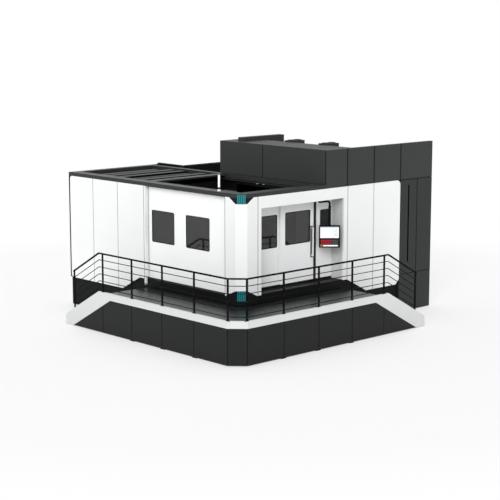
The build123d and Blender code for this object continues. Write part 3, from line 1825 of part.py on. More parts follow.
with BuildPart() as guardrail_rails:
    for top, height, near, far in rail_rows:
        with BuildSketch(level(top - height)):
            outline(
                (line_corner(near) + fit_gap, near),
                (stair_top - fit_gap, near),
                (stair_top - fit_gap, far),
                (line_corner(far) + fit_gap, far),
            )
        extrude(amount=height)
        with BuildSketch(facing_front(near)):
            run = end_post + half_post - stair_top
            upright = height / cos(radians(stair_angle))
            outline(
                (stair_top, top),
                (stair_top + run, top - run * slope),
                (stair_top + run, top - run * slope - upright),
                (stair_top, top - upright),
            )
        extrude(amount=near - far)
    mirror(about=diagonal)
    for top, height, near, far in rail_rows:
        with BuildSketch(level(top - height)):
            outline(
                (line_corner(near), near),
                (near, line_corner(near)),
                (far, line_corner(far)),
                (line_corner(far), far),
            )
        extrude(amount=height)
save(guardrail_rails.part, "guardrail_rails")
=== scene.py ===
"""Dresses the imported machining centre: finishes for its panels and castings, and the fine pieces.

Metres, in the frame's own axes: +X along the operator's front, +Y along the loading side, +Z up.
"""

import math

import bmesh
import bpy
from bpy.props import FloatProperty, FloatVectorProperty, IntProperty, PointerProperty
from mathutils import Matrix, Vector


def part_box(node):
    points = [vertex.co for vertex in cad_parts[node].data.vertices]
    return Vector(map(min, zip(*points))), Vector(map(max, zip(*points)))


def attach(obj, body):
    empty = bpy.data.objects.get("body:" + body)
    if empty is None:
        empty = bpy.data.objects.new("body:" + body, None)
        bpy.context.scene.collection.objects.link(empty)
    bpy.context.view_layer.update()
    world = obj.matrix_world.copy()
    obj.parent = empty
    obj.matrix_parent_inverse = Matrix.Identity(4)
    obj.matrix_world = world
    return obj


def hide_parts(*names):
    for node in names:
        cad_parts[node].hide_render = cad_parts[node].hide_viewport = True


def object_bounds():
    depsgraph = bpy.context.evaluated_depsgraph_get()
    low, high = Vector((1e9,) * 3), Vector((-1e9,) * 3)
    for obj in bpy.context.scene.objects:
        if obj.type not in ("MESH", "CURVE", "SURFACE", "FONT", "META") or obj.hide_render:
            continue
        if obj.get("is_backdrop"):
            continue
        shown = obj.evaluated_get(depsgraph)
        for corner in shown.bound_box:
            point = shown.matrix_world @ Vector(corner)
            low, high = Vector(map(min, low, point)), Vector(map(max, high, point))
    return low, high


bl_info = {
    "name": "Machining centre dressing",
    "version": (1, 0, 0),
    "blender": (4, 5, 0),
    "location": "View3D > Sidebar > Machining centre",
    "description": "Finishes, fine pieces and studio of an enclosed machining centre",
    "category": "Object",
}

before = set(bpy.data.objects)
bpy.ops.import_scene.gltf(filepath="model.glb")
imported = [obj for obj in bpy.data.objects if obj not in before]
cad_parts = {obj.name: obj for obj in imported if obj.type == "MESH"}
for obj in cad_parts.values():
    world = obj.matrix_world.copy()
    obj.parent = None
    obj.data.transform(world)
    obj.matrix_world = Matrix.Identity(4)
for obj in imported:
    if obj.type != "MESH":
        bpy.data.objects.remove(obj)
cad_low, cad_high = (Vector(corner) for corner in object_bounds())
machine_body = "machine"


def length(name, default, description):
    """A size in metres that a user would change."""
    return FloatProperty(name=name, default=default, unit="LENGTH", precision=4, description=description)


def colour(name, default, description):
    """A paint or plastic colour that a user would change."""
    return FloatVectorProperty(
        name=name, default=default, size=3, subtype="COLOR", min=0, max=1, description=description
    )


def share(name, default, description):
    """A number from 0 to 1, such as a roughness."""
    return FloatProperty(name=name, default=default, subtype="FACTOR", min=0, max=1, description=description)


def rotation(name, degrees, description):
    """A turn that a user would change, given here in degrees."""
    return FloatProperty(name=name, default=math.radians(degrees), subtype="ANGLE", description=description)


def power(name, default, description):
    """Power of a light."""
    return FloatProperty(name=name, default=default, min=0, max=20, description=description)


# Sizes and colours


class FinishSettings(bpy.types.PropertyGroup):
    """Colours of the paints, metals and plastics."""

    white: colour("White panels", (0.86, 0.875, 0.875), "Powder coat of the walls and the door leaves")
    lining: colour("Recess lining", (0.6, 0.61, 0.61), "Paint of the operator's recess")
    # inner_doors is painted light: the recess's leaves are lighter than the white panels to make up for the
    # recess's shade
    inner_doors: colour("Inner doors", (0.9, 0.91, 0.915), "Paint of the leaves in the operator's recess")
    band: colour("Platform band", (0.66, 0.67, 0.675), "Paint of the band and the stair stringers")
    charcoal: colour("Charcoal panels", (0.034, 0.037, 0.036), "Paint of the tower and the cabinet")
    cladding: colour("Platform cladding", (0.0125, 0.0132, 0.0132), "Paint of the panels under the band")
    black: colour("Black trim", (0.007, 0.0075, 0.0075), "Paint of the rails, caps and roof frame")
    roof: colour("Roof beams", (0.03, 0.033, 0.033), "Paint of the roof's beams")
    # slat and hollow paint the slats as painted light on the bars and painted shade in the troughs between
    # them
    slat: colour("Roof slats", (0.15, 0.155, 0.155), "Paint of the sliding slats' raised bars")
    # hollow is painted shade: the near-black put on faces out of the light, on the walls above the lamps and
    # in the slats' troughs
    hollow: colour("Hollows", (0.0025, 0.0026, 0.0026), "Paint of inner faces out of the light")
    walls: colour("Work area walls", (0.34, 0.35, 0.36), "Sheets round the work area, up to the lamps")
    head: colour("Milling head", (0.012, 0.013, 0.014), "Paint of the headstock and the swivelling head")
    deck: colour("Deck", (0.01, 0.0115, 0.0125), "Coated sheet of the walkways and treads")
    teal: colour("Teal inserts", (0.0, 0.2, 0.23), "Paint of the ribbed inserts on the corner")
    casting: colour("Castings", (0.36, 0.38, 0.39), "Paint of the bed, the column and the head")
    coat_roughness: share("Coat roughness", 0.38, "Roughness of the smooth powder coats")
    grain: length("Coat grain", 0.0022, "Size of the powder coat's orange peel")


class StageSettings(bpy.types.PropertyGroup):
    """Camera, floor and lamps."""

    focal_length: FloatProperty(
        name="Focal length", default=98.894, min=10, max=300, description="Camera lens in millimetres"
    )
    camera_place: FloatVectorProperty(
        name="Camera place",
        default=(-24.9454, -26.7187, 7.8115),
        size=3,
        subtype="TRANSLATION",
        description="Where the camera stands",
    )
    camera_yaw: rotation("Camera yaw", 43.1027, "Turn of the view from +Y towards +X")
    camera_pitch: rotation("Camera pitch", -9.4165, "Tilt of the view above the horizon")
    floor_size: length("Floor size", 160.0, "Side of the square floor")
    floor_fade: length("Floor fade", 8.0, "Where the floor starts to melt into white")
    floor_colour: colour("Floor colour", (0.92, 0.92, 0.92), "Pale studio floor")
    floor_lift: share("Floor lift", 0.5, "How much of the floor's shadow is lit away for the camera")
    sky_strength: power("Sky strength", 0.78, "Strength of the even light from all round")
    key_strength: power("Key strength", 1.5, "Strength of the soft light from the left")
    key_spread: rotation("Key spread", 30, "Apparent size of the light: a large one has soft shadows")
    key_way: FloatVectorProperty(
        name="Key direction",
        default=(0.69, 0.53, -0.49),
        size=3,
        subtype="DIRECTION",
        description="Way in which the soft light shines",
    )


class WindowSettings(bpy.types.PropertyGroup):
    """Gaskets round the panes."""

    gasket_width: length("Gasket width", 0.016, "Width of the rubber round a pane, seen from the front")
    gasket_lip: length("Gasket lip", 0.004, "How far the rubber stands out of the leaf")
    corner: length("Corner radius", 0.038, "Radius of a pane's corners")
    inset: length("Pane inset", 0.014, "How deep a pane lies in its leaf")


class JointSettings(bpy.types.PropertyGroup):
    """Strips in the seams between panels."""

    pale_lap: length("Pale lap", 0.005, "How far a strip laps over each white panel")
    dark_lap: length("Dark lap", 0.012, "How far a strip laps over each charcoal panel")
    cladding_lap: length("Cladding lap", 0.011, "How far a strip laps over each cladding panel")
    corner_lap: length("Corner lap", 0.006, "How far the strips beside the corner cover lap")
    crown: length("Crown", 0.0016, "How far a strip stands out of its panels")
    widest_gap: length("Widest gap", 0.03, "Widest seam that gets a strip")
    trim_width: length("Trim width", 0.05, "Width of the dark profile down the loading side's far edge")
    trim_radius: length("Trim radius", 0.09, "Radius of that profile's corner under the roof")
    seal_lap: length("Seal lap", 0.01, "How far a cabinet door's seal laps over its face")
    pale: colour("Pale strips", (0.16, 0.165, 0.165), "Rubber between white panels")
    black: colour("Black strips", (0.002, 0.002, 0.002), "Rubber between charcoal panels")


class FittingSettings(bpy.types.PropertyGroup):
    """Screws, caps and other small fittings."""

    screw: length("Screw radius", 0.009, "Radius of a screw head on panels, posts and plates")
    screw_inset: length("Screw inset", 0.04, "Distance of a screw from its panel's edge")
    flange_screw: length("Flange screw radius", 0.012, "Radius of a screw head on the head's flanges")
    deck_pitch: length("Deck screw pitch", 0.6, "Greatest distance between screws along a deck plate")
    foot_plate: length("Foot plate", 0.12, "Length of the plate under a guardrail post")
    seam_pitch: length("Seam pitch", 0.46, "Distance between standing seams on the rear roof")
    sleeve: length("Arm sleeve radius", 0.038, "Radius of the corrugated sleeve on the pendant's arm")
    lamp_length: length("Lamp length", 0.9, "Length of a work area lamp")
    lamp_strength: power("Lamp strength", 3.0, "Strength of the work area lamps")


class PendantSettings(bpy.types.PropertyGroup):
    """Control pendant: keys, light strip, rim and stop button."""

    turn: rotation("Turn", 43.1, "Turn of the panel from the front")
    key_size: length("Key size", 0.031, "Side of a key cap")
    key_pitch: length("Key pitch", 0.044, "Distance between neighbouring keys of a row")
    row_pitch: length("Row pitch", 0.044, "Distance between rows of keys")
    key_height: length("Key height", 0.005, "How far a cap stands out of the pad")
    key_columns: IntProperty(name="Key columns", default=10, min=1, description="Keys in a row")
    key_rows: IntProperty(name="Key rows", default=3, min=1, description="Rows of keys")
    red_columns: IntProperty(name="Red columns", default=6, min=0, description="Red columns at the left")
    bezel: length("Bezel", 0.009, "Width of the rim round the housing's face")
    stop_radius: length("Stop radius", 0.02, "Radius of the stop button's cap")
    red: colour("Red keys", (0.6, 0.004, 0.03), "Plastic of the left-hand keys")
    grey: colour("Grey keys", (0.1, 0.105, 0.11), "Plastic of the right-hand keys")
    stop_red: colour("Stop button", (0.62, 0.09, 0.015), "Plastic of the stop button")
    collar_yellow: colour("Stop collar", (0.75, 0.5, 0.02), "Plastic of the ring round the stop button")


# Shader maths


class Term:
    """A number, colour or shader on its way through a node tree. Sums on it add the nodes they need."""

    def __init__(self, nodes, socket):
        self.nodes = nodes
        self.socket = socket

    def math(self, operation, *values):
        return self.nodes.add("Math", {"operation": operation}, dict(enumerate((self, *values))))[0]

    def __add__(self, other):
        return self.math("ADD", other)

    def __sub__(self, other):
        return self.math("SUBTRACT", other)

    def __rsub__(self, other):
        return self.nodes.add("Math", {"operation": "SUBTRACT"}, {0: other, 1: self})[0]

    def __mul__(self, other):
        return self.math("MULTIPLY", other)

    def __truediv__(self, other):
        return self.math("DIVIDE", other)

    def __gt__(self, other):
        return self.math("GREATER_THAN", other)

    def __lt__(self, other):
        return self.math("LESS_THAN", other)

    __radd__ = __add__
    __rmul__ = __mul__

    def wrap(self, period):
        """Distance to the middle of the nearest stripe of this period."""
        return self.math("PINGPONG", period / 2)

    def between(self, low, high):
        """1 where the number lies between two limits."""
        return (self > low) * (self < high)

    def ramp(self, start, end):
        """0 below the start, 1 above the end and even between them."""
        return ((self - start) / (end - start)).math("MAXIMUM", 0.0).math("MINIMUM", 1.0)

    def spread(self, low, high):
        """The same number mapped from 0..1 to low..high."""
        return self * (high - low) + low


class Nodes:
    """The nodes of one material or world."""

    def __init__(self, owner):
        owner.use_nodes = True
        self.tree = owner.node_tree
        self.tree.nodes.clear()

    def add(self, kind, settings=None, sockets=None):
        """Add a node, set its properties, then the values or links of its inputs."""
        node = self.tree.nodes.new("ShaderNode" + kind)
        for name, value in (settings or {}).items():
            setattr(node, name, value)
        for key, value in (sockets or {}).items():
            self.feed(node.inputs[key], value)
        return Outputs(self, node)

    def feed(self, socket, value):
        """Link a term to an input, or set the input's own value."""
        if isinstance(value, Term):
            self.tree.links.new(value.socket, socket)
        else:
            socket.default_value = value


class Outputs:
    """Outputs of one node, by name or number, each as a Term."""

    def __init__(self, nodes, node):
        self.nodes = nodes
        self.node = node

    def __getitem__(self, key):
        return Term(self.nodes, self.node.outputs[key])


class Finish(Nodes):
    """One material: its surface shader and what varies over the surface."""

    def __init__(self, name, **surface):
        self.material = bpy.data.materials.new(name)
        super().__init__(self.material)
        self.shader = self.add("BsdfPrincipled")
        self.out = self.add("OutputMaterial", {}, {0: self.shader[0]})
        self.place = self.add("TexCoord")["Object"]
        for socket, value in surface.items():
            self.set(socket.replace("_", " ").title().replace("Ior", "IOR"), value)

    def set(self, name, value):
        """Give the surface shader's own socket a value or a link."""
        if not isinstance(value, Term) and hasattr(value, "__len__") and len(value) == 3:
            value = (*value, 1)
        self.feed(self.shader.node.inputs[name], value)

    def vector(self, operation, *values):
        """Vector maths on places, as values or links."""
        return self.add("VectorMath", {"operation": operation}, dict(enumerate(values)))

    def axis(self, name):
        """One coordinate of the surface point, in metres."""
        return self.add("SeparateXYZ", {}, {0: self.place})[name]

    def stretched(self, x, y, z):
        """The surface point, scaled by an amount along each axis."""
        return self.vector("MULTIPLY", self.place, (x, y, z))[0]

    def noise(self, scale, detail=3.0, roughness=0.5, place=None):
        """Smooth noise from 0 to 1."""
        sockets = {"Vector": place or self.place, "Scale": scale, "Detail": detail, "Roughness": roughness}
        return self.add("TexNoise", {}, sockets)["Fac"]

    def blend(self, amount, first, second):
        """Mix of two colours."""
        pick = {"data_type": "RGBA"}
        colours = [value if isinstance(value, Term) else (*value[:3], 1) for value in (first, second)]
        return self.add("Mix", pick, {"Factor": amount, 6: colours[0], 7: colours[1]})[2]

    def tint(self, amount, base, dark, light):
        """Base colour between a darker and a lighter shade."""
        self.set("Base Color", self.blend(amount, shade(base, dark), shade(base, light)))

    def relief(self, height, distance, strength=1.0):
        """Turn a height from 0 to 1 into bumps of this depth in metres."""
        sockets = {"Height": height, "Distance": distance, "Strength": strength}
        self.set("Normal", self.add("Bump", {}, sockets)["Normal"])


def shade(base, factor):
    """A colour made lighter or darker."""
    return tuple(min(1.0, channel * factor) for channel in base[:3])


def powder_coat(name, base, roughness, grain, dust=0.0, gloss=0.5):
    """Powder coat: fine orange peel, a faint cloudiness, and dust towards the floor."""
    finish = Finish(name, specular_ior_level=gloss)
    peel = finish.noise(1 / grain, 2.0)
    cloud = finish.noise(0.9, 3.0)
    smear = finish.noise(9.0, 4.0, 0.6, finish.stretched(1, 1, 0.25))
    coat = finish.blend(cloud, shade(base, 0.965), shade(base, 1.03))
    dusty = {"Value": finish.axis("Z"), "From Min": 0.0, "From Max": 0.9, "To Min": dust, "To Max": 0.0}
    low_down = finish.add("MapRange", {}, dusty)[0]
    dust_colour = (0.35, 0.34, 0.32)
    finish.set("Base Color", finish.blend(low_down * smear, coat, dust_colour))
    finish.set("Roughness", smear.spread(roughness - 0.05, roughness + 0.07))
    finish.relief(peel, 0.00006)
    return finish.material


def speckled_coat(name, base, roughness, grain):
    """Textured charcoal coat: a fine leather-like grain that breaks up its gloss."""
    finish = Finish(name, specular_ior_level=0.16)
    cells = {"Vector": finish.place, "Scale": 0.7 / grain, "Smoothness": 0.6}
    pebble = finish.add("TexVoronoi", {"feature": "SMOOTH_F1"}, cells)["Distance"]
    cloud = finish.noise(1.3, 4.0)
    finish.tint(cloud, base, 0.9, 1.1)
    finish.set("Roughness", (pebble * 0.12 + cloud * 0.08) + (roughness - 0.1))
    finish.relief(pebble, 0.00012)
    return finish.material


def deck_sheet(name, base):
    """Coated deck: long streaks along each walkway, scuffed in patches, with a wet-looking coat."""
    finish = Finish(name, specular_ior_level=0.2, coat_roughness=0.16)
    on_front = finish.axis("X") > finish.axis("Y")
    along_front = finish.noise(1.0, 5.0, 0.65, finish.stretched(0.7, 34, 1))
    along_side = finish.noise(1.0, 5.0, 0.65, finish.stretched(34, 0.7, 1))
    streak = along_front * on_front + along_side * (1 - on_front)
    scuff = finish.noise(3.2, 5.0, 0.6)
    finish.tint(streak, base, 0.7, 1.9)
    finish.set("Roughness", streak.spread(0.16, 0.4) + scuff * 0.08)
    finish.set("Coat Weight", scuff.spread(0.04, 0.16))
    finish.relief(streak, 0.0001)
    return finish.material


def tread_plate(name, base):
    """Tread sheet with rows of raised lozenges that alternate in direction."""
    finish = Finish(name, metallic=0.4, specular_ior_level=0.6)
    pitch, half_width, half_length = 0.034, 0.0035, 0.011
    x, y = finish.axis("X"), finish.axis("Y")
    rising = ((x + y).wrap(pitch) < half_width) * ((x - y).wrap(pitch) < half_length)
    across, along = x - y + pitch / 2, x + y + pitch / 2
    falling = (across.wrap(pitch) < half_width) * (along.wrap(pitch) < half_length)
    lozenge = (rising + falling).math("MINIMUM", 1.0)
    wear = finish.noise(5.0, 5.0, 0.65)
    worn = lozenge * wear
    finish.set("Base Color", finish.blend(worn, base, (0.2, 0.2, 0.2)))
    finish.set("Roughness", 0.5 - worn * 0.2)
    finish.relief(lozenge, 0.0012)
    return finish.material


def wall_sheet(name, base, hollow, height=3.25):
    """Brushed wall sheets with splash marks, with painted shade above the lamps: the near-black hollow
    colour.
    """
    finish = Finish(name, specular_ior_level=0.25)
    line = finish.noise(1.0, 4.0, 0.6, finish.stretched(200, 200, 3))
    splash = finish.noise(3.0, 6.0, 0.7, finish.stretched(1, 1, 0.5))
    # painted shade: above the lamps the sheet turns to the near-black hollow colour
    above = finish.axis("Z").ramp(height, height + 0.05)
    sheet = finish.blend(splash, shade(base, 0.7), shade(base, 1.1))
    finish.set("Base Color", finish.blend(above, sheet, hollow))
    finish.set("Roughness", (line * 0.14 + splash * 0.1) + 0.34)
    finish.relief(line, 0.00004)
    return finish.material


def tinted_pane(name):
    """Laminated safety pane: dark and clear, with a faint film of coolant."""
    finish = Finish(name, ior=1.5, specular_ior_level=0.85, alpha=0.64)
    film = finish.noise(2.6, 5.0, 0.62, finish.stretched(1, 1, 0.35))
    finish.set("Base Color", finish.blend(film, (0.002, 0.0022, 0.0022), (0.006, 0.0065, 0.0065)))
    finish.set("Roughness", film.spread(0.01, 0.05))
    return finish.material


def rubber(name, base=(0.01, 0.01, 0.01), spread=2.2):
    """Moulded rubber with a fine tooth."""
    finish = Finish(name, specular_ior_level=0.2)
    tooth = finish.noise(900.0, 2.0)
    bloom = finish.noise(6.0, 4.0, 0.6)
    finish.tint(bloom, base, 1, spread)
    finish.set("Roughness", bloom.spread(0.6, 0.8))
    finish.relief(tooth, 0.0001)
    return finish.material


def cast_paint(name, base):
    """Thick paint on a sand casting: lumpy, with oil stains."""
    finish = Finish(name, specular_ior_level=0.5)
    sand = finish.noise(160.0, 4.0, 0.6)
    lump = finish.noise(14.0, 3.0)
    stain = finish.noise(2.2, 6.0, 0.68)
    finish.tint(stain, base, 0.72, 1.08)
    finish.set("Roughness", stain.spread(0.3, 0.55))
    finish.relief(sand * 0.7 + lump * 0.3, 0.0006)
    return finish.material


def ground_steel(name, base, roughness, grain=(6, 400, 400)):
    """Ground or brushed steel with fine lines along one axis."""
    finish = Finish(name, metallic=1.0)
    line = finish.noise(1.0, 4.0, 0.6, finish.stretched(*grain))
    oil = finish.noise(3.0, 4.0, 0.6)
    finish.tint(oil, base, 0.86, 1)
    finish.set("Roughness", (line * 0.14 + oil * 0.1) + (roughness - 0.1))
    finish.relief(line, 0.00004)
    return finish.material


def turned_table(name, middle):
    """Face-turned steel: fine rings round the table's middle, crossed by faint clamping marks."""
    finish = Finish(name, metallic=1.0)
    from_middle = finish.vector("SUBTRACT", finish.place, middle)[0]
    radius = finish.vector("LENGTH", finish.vector("MULTIPLY", from_middle, (1, 1, 0))[0])["Value"]
    groove = radius.wrap(0.0024) / 0.0012
    marks = finish.noise(5.0, 6.0, 0.7)
    finish.set("Base Color", finish.blend(marks, (0.38, 0.39, 0.4), (0.6, 0.61, 0.62)))
    finish.set("Roughness", (groove * 0.08 + marks * 0.16) + 0.2)
    finish.relief(groove, 0.00008)
    return finish.material


def plastic(name, base, roughness=0.35, grain=0.0006):
    """Moulded plastic with a fine spark-eroded grain."""
    finish = Finish(name, specular_ior_level=0.2)
    cloud = finish.noise(30.0, 3.0)
    finish.tint(cloud, base, 0.9, 1.08)
    finish.set("Roughness", cloud.spread(roughness - 0.05, roughness + 0.08))
    finish.relief(finish.noise(1 / grain, 2.0), 0.00003)
    return finish.material


def glowing(name, base, strength):
    """Milky lens that glows a little."""
    finish = Finish(name, emission_strength=strength, specular_ior_level=0.5)
    cloud = finish.noise(60.0, 2.0)
    finish.tint(cloud, base, 0.95, 1)
    finish.set("Emission Color", finish.blend(cloud, shade(base, 0.9), base))
    finish.set("Roughness", cloud.spread(0.2, 0.32))
    return finish.material


def barred_slat(name, base, hollow, low, high):
    """Sliding roof slat: raised bars between dark troughs, pressed along its length. The bars' paint is
    painted light and the near-black troughs are painted shade.
    """
    finish = Finish(name, specular_ior_level=0.0)
    bars = 2
    pitch = (high.y - low.y) / bars
    from_bar = (finish.axis("Y") - low.y).wrap(pitch)
    bar = from_bar.ramp(pitch * 0.19, pitch * 0.21)
    rub = finish.noise(4.0, 4.0, 0.6, finish.stretched(0.3, 4, 1))
    worn = finish.blend(rub, shade(base, 0.85), shade(base, 1.3))
    # painted light and shade: lit bars and near-black troughs
    finish.set("Base Color", finish.blend(bar, hollow, worn))
    finish.set("Roughness", rub.spread(0.4, 0.55))
    finish.relief(bar, 0.004)
    return finish.material


def screen_picture(name):
    """Lit display: a pale page with a title strip, a drawing field and rows of soft dashes."""
    finish = Finish(name, emission_strength=0.42, roughness=0.12)
    low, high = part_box("pendant_screen")
    middle = (low + high) / 2
    width = math.hypot(high.x - low.x, high.y - low.y)
    height = high.z - low.z
    turn = bpy.context.scene.machine_pendant.turn
    across = (finish.axis("X") - middle.x) * (math.cos(turn) / width)
    across = across - (finish.axis("Y") - middle.y) * (math.sin(turn) / width)
    up = (finish.axis("Z") - middle.z) / height
    title = up.between(0.42, 0.5)
    field = across.between(-0.46, 0.12) * up.between(-0.38, 0.36)
    rows = (up.wrap(0.09) < 0.012) * across.between(0.18, 0.44) * up.between(-0.3, 0.3)
    ragged = finish.noise(24.0, 1.0, 0.5, finish.stretched(1, 1, 6)) > 0.47
    page = finish.blend(field, (0.72, 0.75, 0.76), (0.86, 0.87, 0.87))
    page = finish.blend(title, page, (0.3, 0.38, 0.42))
    page = finish.blend(rows * ragged, page, (0.14, 0.17, 0.19))
    finish.set("Base Color", page)
    finish.set("Emission Color", page)
    return finish.material


# Mesh tools

to_left, to_right = Vector((-1, 0, 0)), Vector((1, 0, 0))
to_front, to_back = Vector((0, -1, 0)), Vector((0, 1, 0))
to_floor, to_top = Vector((0, 0, -1)), Vector((0, 0, 1))
shift = Matrix.Translation
aligned = 0.9  # a face looks along an axis when its normal has this much of it


def spin(turn):
    """Rotation about the Z axis."""
    return Matrix.Rotation(turn, 4, "Z")


def turns(count):
    """Even angles once round."""
    return [2 * math.pi * step / count for step in range(count)]


def around(count, radius, start=0.0):
    """Even spots on a circle about the Z axis, from a first angle in degrees."""
    angles = [turn + math.radians(start) for turn in turns(count)]
    return [Vector((radius * math.cos(turn), radius * math.sin(turn), 0)) for turn in angles]


def wire(radius, sides):
    """Round section of a bent wire."""
    return [spot.xy for spot in around(sides, radius)]


def flat_loop(width, height, radius, segments=6):
    """Points of a rounded rectangle about the origin."""
    points = []
    for quarter in range(4):
        centre_x = (width / 2 - radius) * (1 if quarter in (0, 3) else -1)
        centre_y = (height / 2 - radius) * (1 if quarter in (0, 1) else -1)
        for step in range(segments + 1):
            angle = math.pi / 2 * (quarter + step / segments)
            points.append((centre_x + radius * math.cos(angle), centre_y + radius * math.sin(angle)))
    return points


def skin(mesh, loops, closed=True, capped=False):
    """Faces between successive loops of points. closed joins the last to the first, capped fills the ends."""
    rings = [[mesh.verts.new(point) for point in loop] for loop in loops]
    count = len(rings[0])
    pairs = list(zip(rings, rings[1:]))
    if closed:
        pairs.append((rings[-1], rings[0]))
    for first, second in pairs:
        for index in range(count):
            after = (index + 1) % count
            mesh.faces.new((first[index], first[after], second[after], second[index]))
    if capped:
        mesh.faces.new(reversed(rings[0]))
        mesh.faces.new(rings[-1])
    return mesh


def lathe(mesh, place, profile, segments=32, hollow=False):
    """Turn a profile of (radius, height) points about a place's Z axis. hollow joins its end to its start."""
    loops = []
    for radius, height in profile:
        loops.append([place @ (spot + height * to_top) for spot in around(segments, radius)])
    return skin(mesh, loops, closed=hollow, capped=not hollow)


def ring(mesh, place, width, height, radius, profile):
    """A rounded rectangular frame in the XY plane of a place, from a profile of (growth, height) points."""
    loops = []
    for grow, out in profile:
        shape = flat_loop(width + 2 * grow, height + 2 * grow, max(radius + grow, 1e-4))
        loops.append([place @ Vector((x, y, out)) for x, y in shape])
    return skin(mesh, loops)


def facing(point, normal, up=to_top):
    """Place at a point with Z along the normal and Y as near to up as it can be."""
    across = up.cross(normal)
    across = across.normalized() if across.length > 0.01 else to_right
    return shift(point) @ Matrix((across, normal.cross(across), normal)).transposed().to_4x4()


def bolt(mesh, place, radius, height=None, segments=12):
    """A button-head screw with a socket in its crown."""
    height = height or 0.55 * radius
    profile = (
        (radius, 0),
        (radius, 0.35 * height),
        (0.82 * radius, 0.85 * height),
        (0.6 * radius, height),
        (0.34 * radius, height),
        (0.3 * radius, 0.45 * height),
    )
    return lathe(mesh, place, profile, segments)


def strip(mesh, place, section, extent):
    """A section of (across, out) points drawn along the Y axis of a place, centred on it."""
    loops = []
    for end in (-extent / 2, extent / 2):
        loops.append([place @ Vector((across, end, out)) for across, out in section])
    return skin(mesh, loops, closed=False, capped=True)


def slab(mesh, place, size, bevel, segments=2):
    """A block with rounded edges, centred in a place."""
    made = bmesh.ops.create_cube(mesh, size=1, matrix=place @ Matrix.Diagonal((*size, 1)))
    edges = list(dict.fromkeys(edge for vert in made["verts"] for edge in vert.link_edges))
    bmesh.ops.bevel(mesh, geom=edges, offset=bevel, segments=segments, profile=0.5, affect="EDGES")


def piece(name, mesh, body, slot, *materials, replaced=()):
    """Make an object of a mesh, shade it, and let it ride on a body."""
    bmesh.ops.recalc_face_normals(mesh, faces=mesh.faces)
    data = bpy.data.meshes.new(name)
    mesh.to_mesh(data)
    mesh.free()
    for material in materials:
        data.materials.append(material)
    thing = bpy.data.objects.new(name, data)
    bpy.context.scene.collection.objects.link(thing)
    data.shade_smooth()
    smooth_by_angle(data)
    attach(thing, body)
    if replaced:
        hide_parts(*replaced)
    return thing


def smooth_by_angle(data):
    """Keep the edges that turn by more than an angle sharp."""
    sharp = math.radians(35)
    mesh = bmesh.new()
    mesh.from_mesh(data)
    for edge in mesh.edges:
        edge.smooth = len(edge.link_faces) == 2 and edge.calc_face_angle(0) < sharp
    mesh.to_mesh(data)
    mesh.free()


def islands(node):
    """Lowest and highest corners of each separate solid of a CAD node."""
    mesh = bmesh.new()
    mesh.from_mesh(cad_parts[node].data)
    bmesh.ops.remove_doubles(mesh, verts=mesh.verts, dist=1e-5)
    left, boxes = set(mesh.verts), []
    while left:
        queue, seen = [left.pop()], []
        while queue:
            vert = queue.pop()
            seen.append(vert.co.copy())
            near = {edge.other_vert(vert) for edge in vert.link_edges} & left
            left -= near
            queue.extend(near)
        corners = (Vector(pick(point[axis] for point in seen) for axis in range(3)) for pick in (min, max))
        boxes.append(tuple(corners))
    mesh.free()
    return sorted(boxes, key=lambda box: (*box[0], *box[1]))


def paint(node, material):
    """Give a CAD node its finish."""
    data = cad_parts[node].data
    data.materials.clear()
    data.materials.append(material)


def paint_faces(node, material, chosen):
    """Give some faces of a CAD node another finish. chosen(centre, normal) picks them."""
    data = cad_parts[node].data
    data.materials.append(material)
    for face in data.polygons:
        if chosen(face.center, face.normal):
            face.material_index = len(data.materials) - 1


# Operators


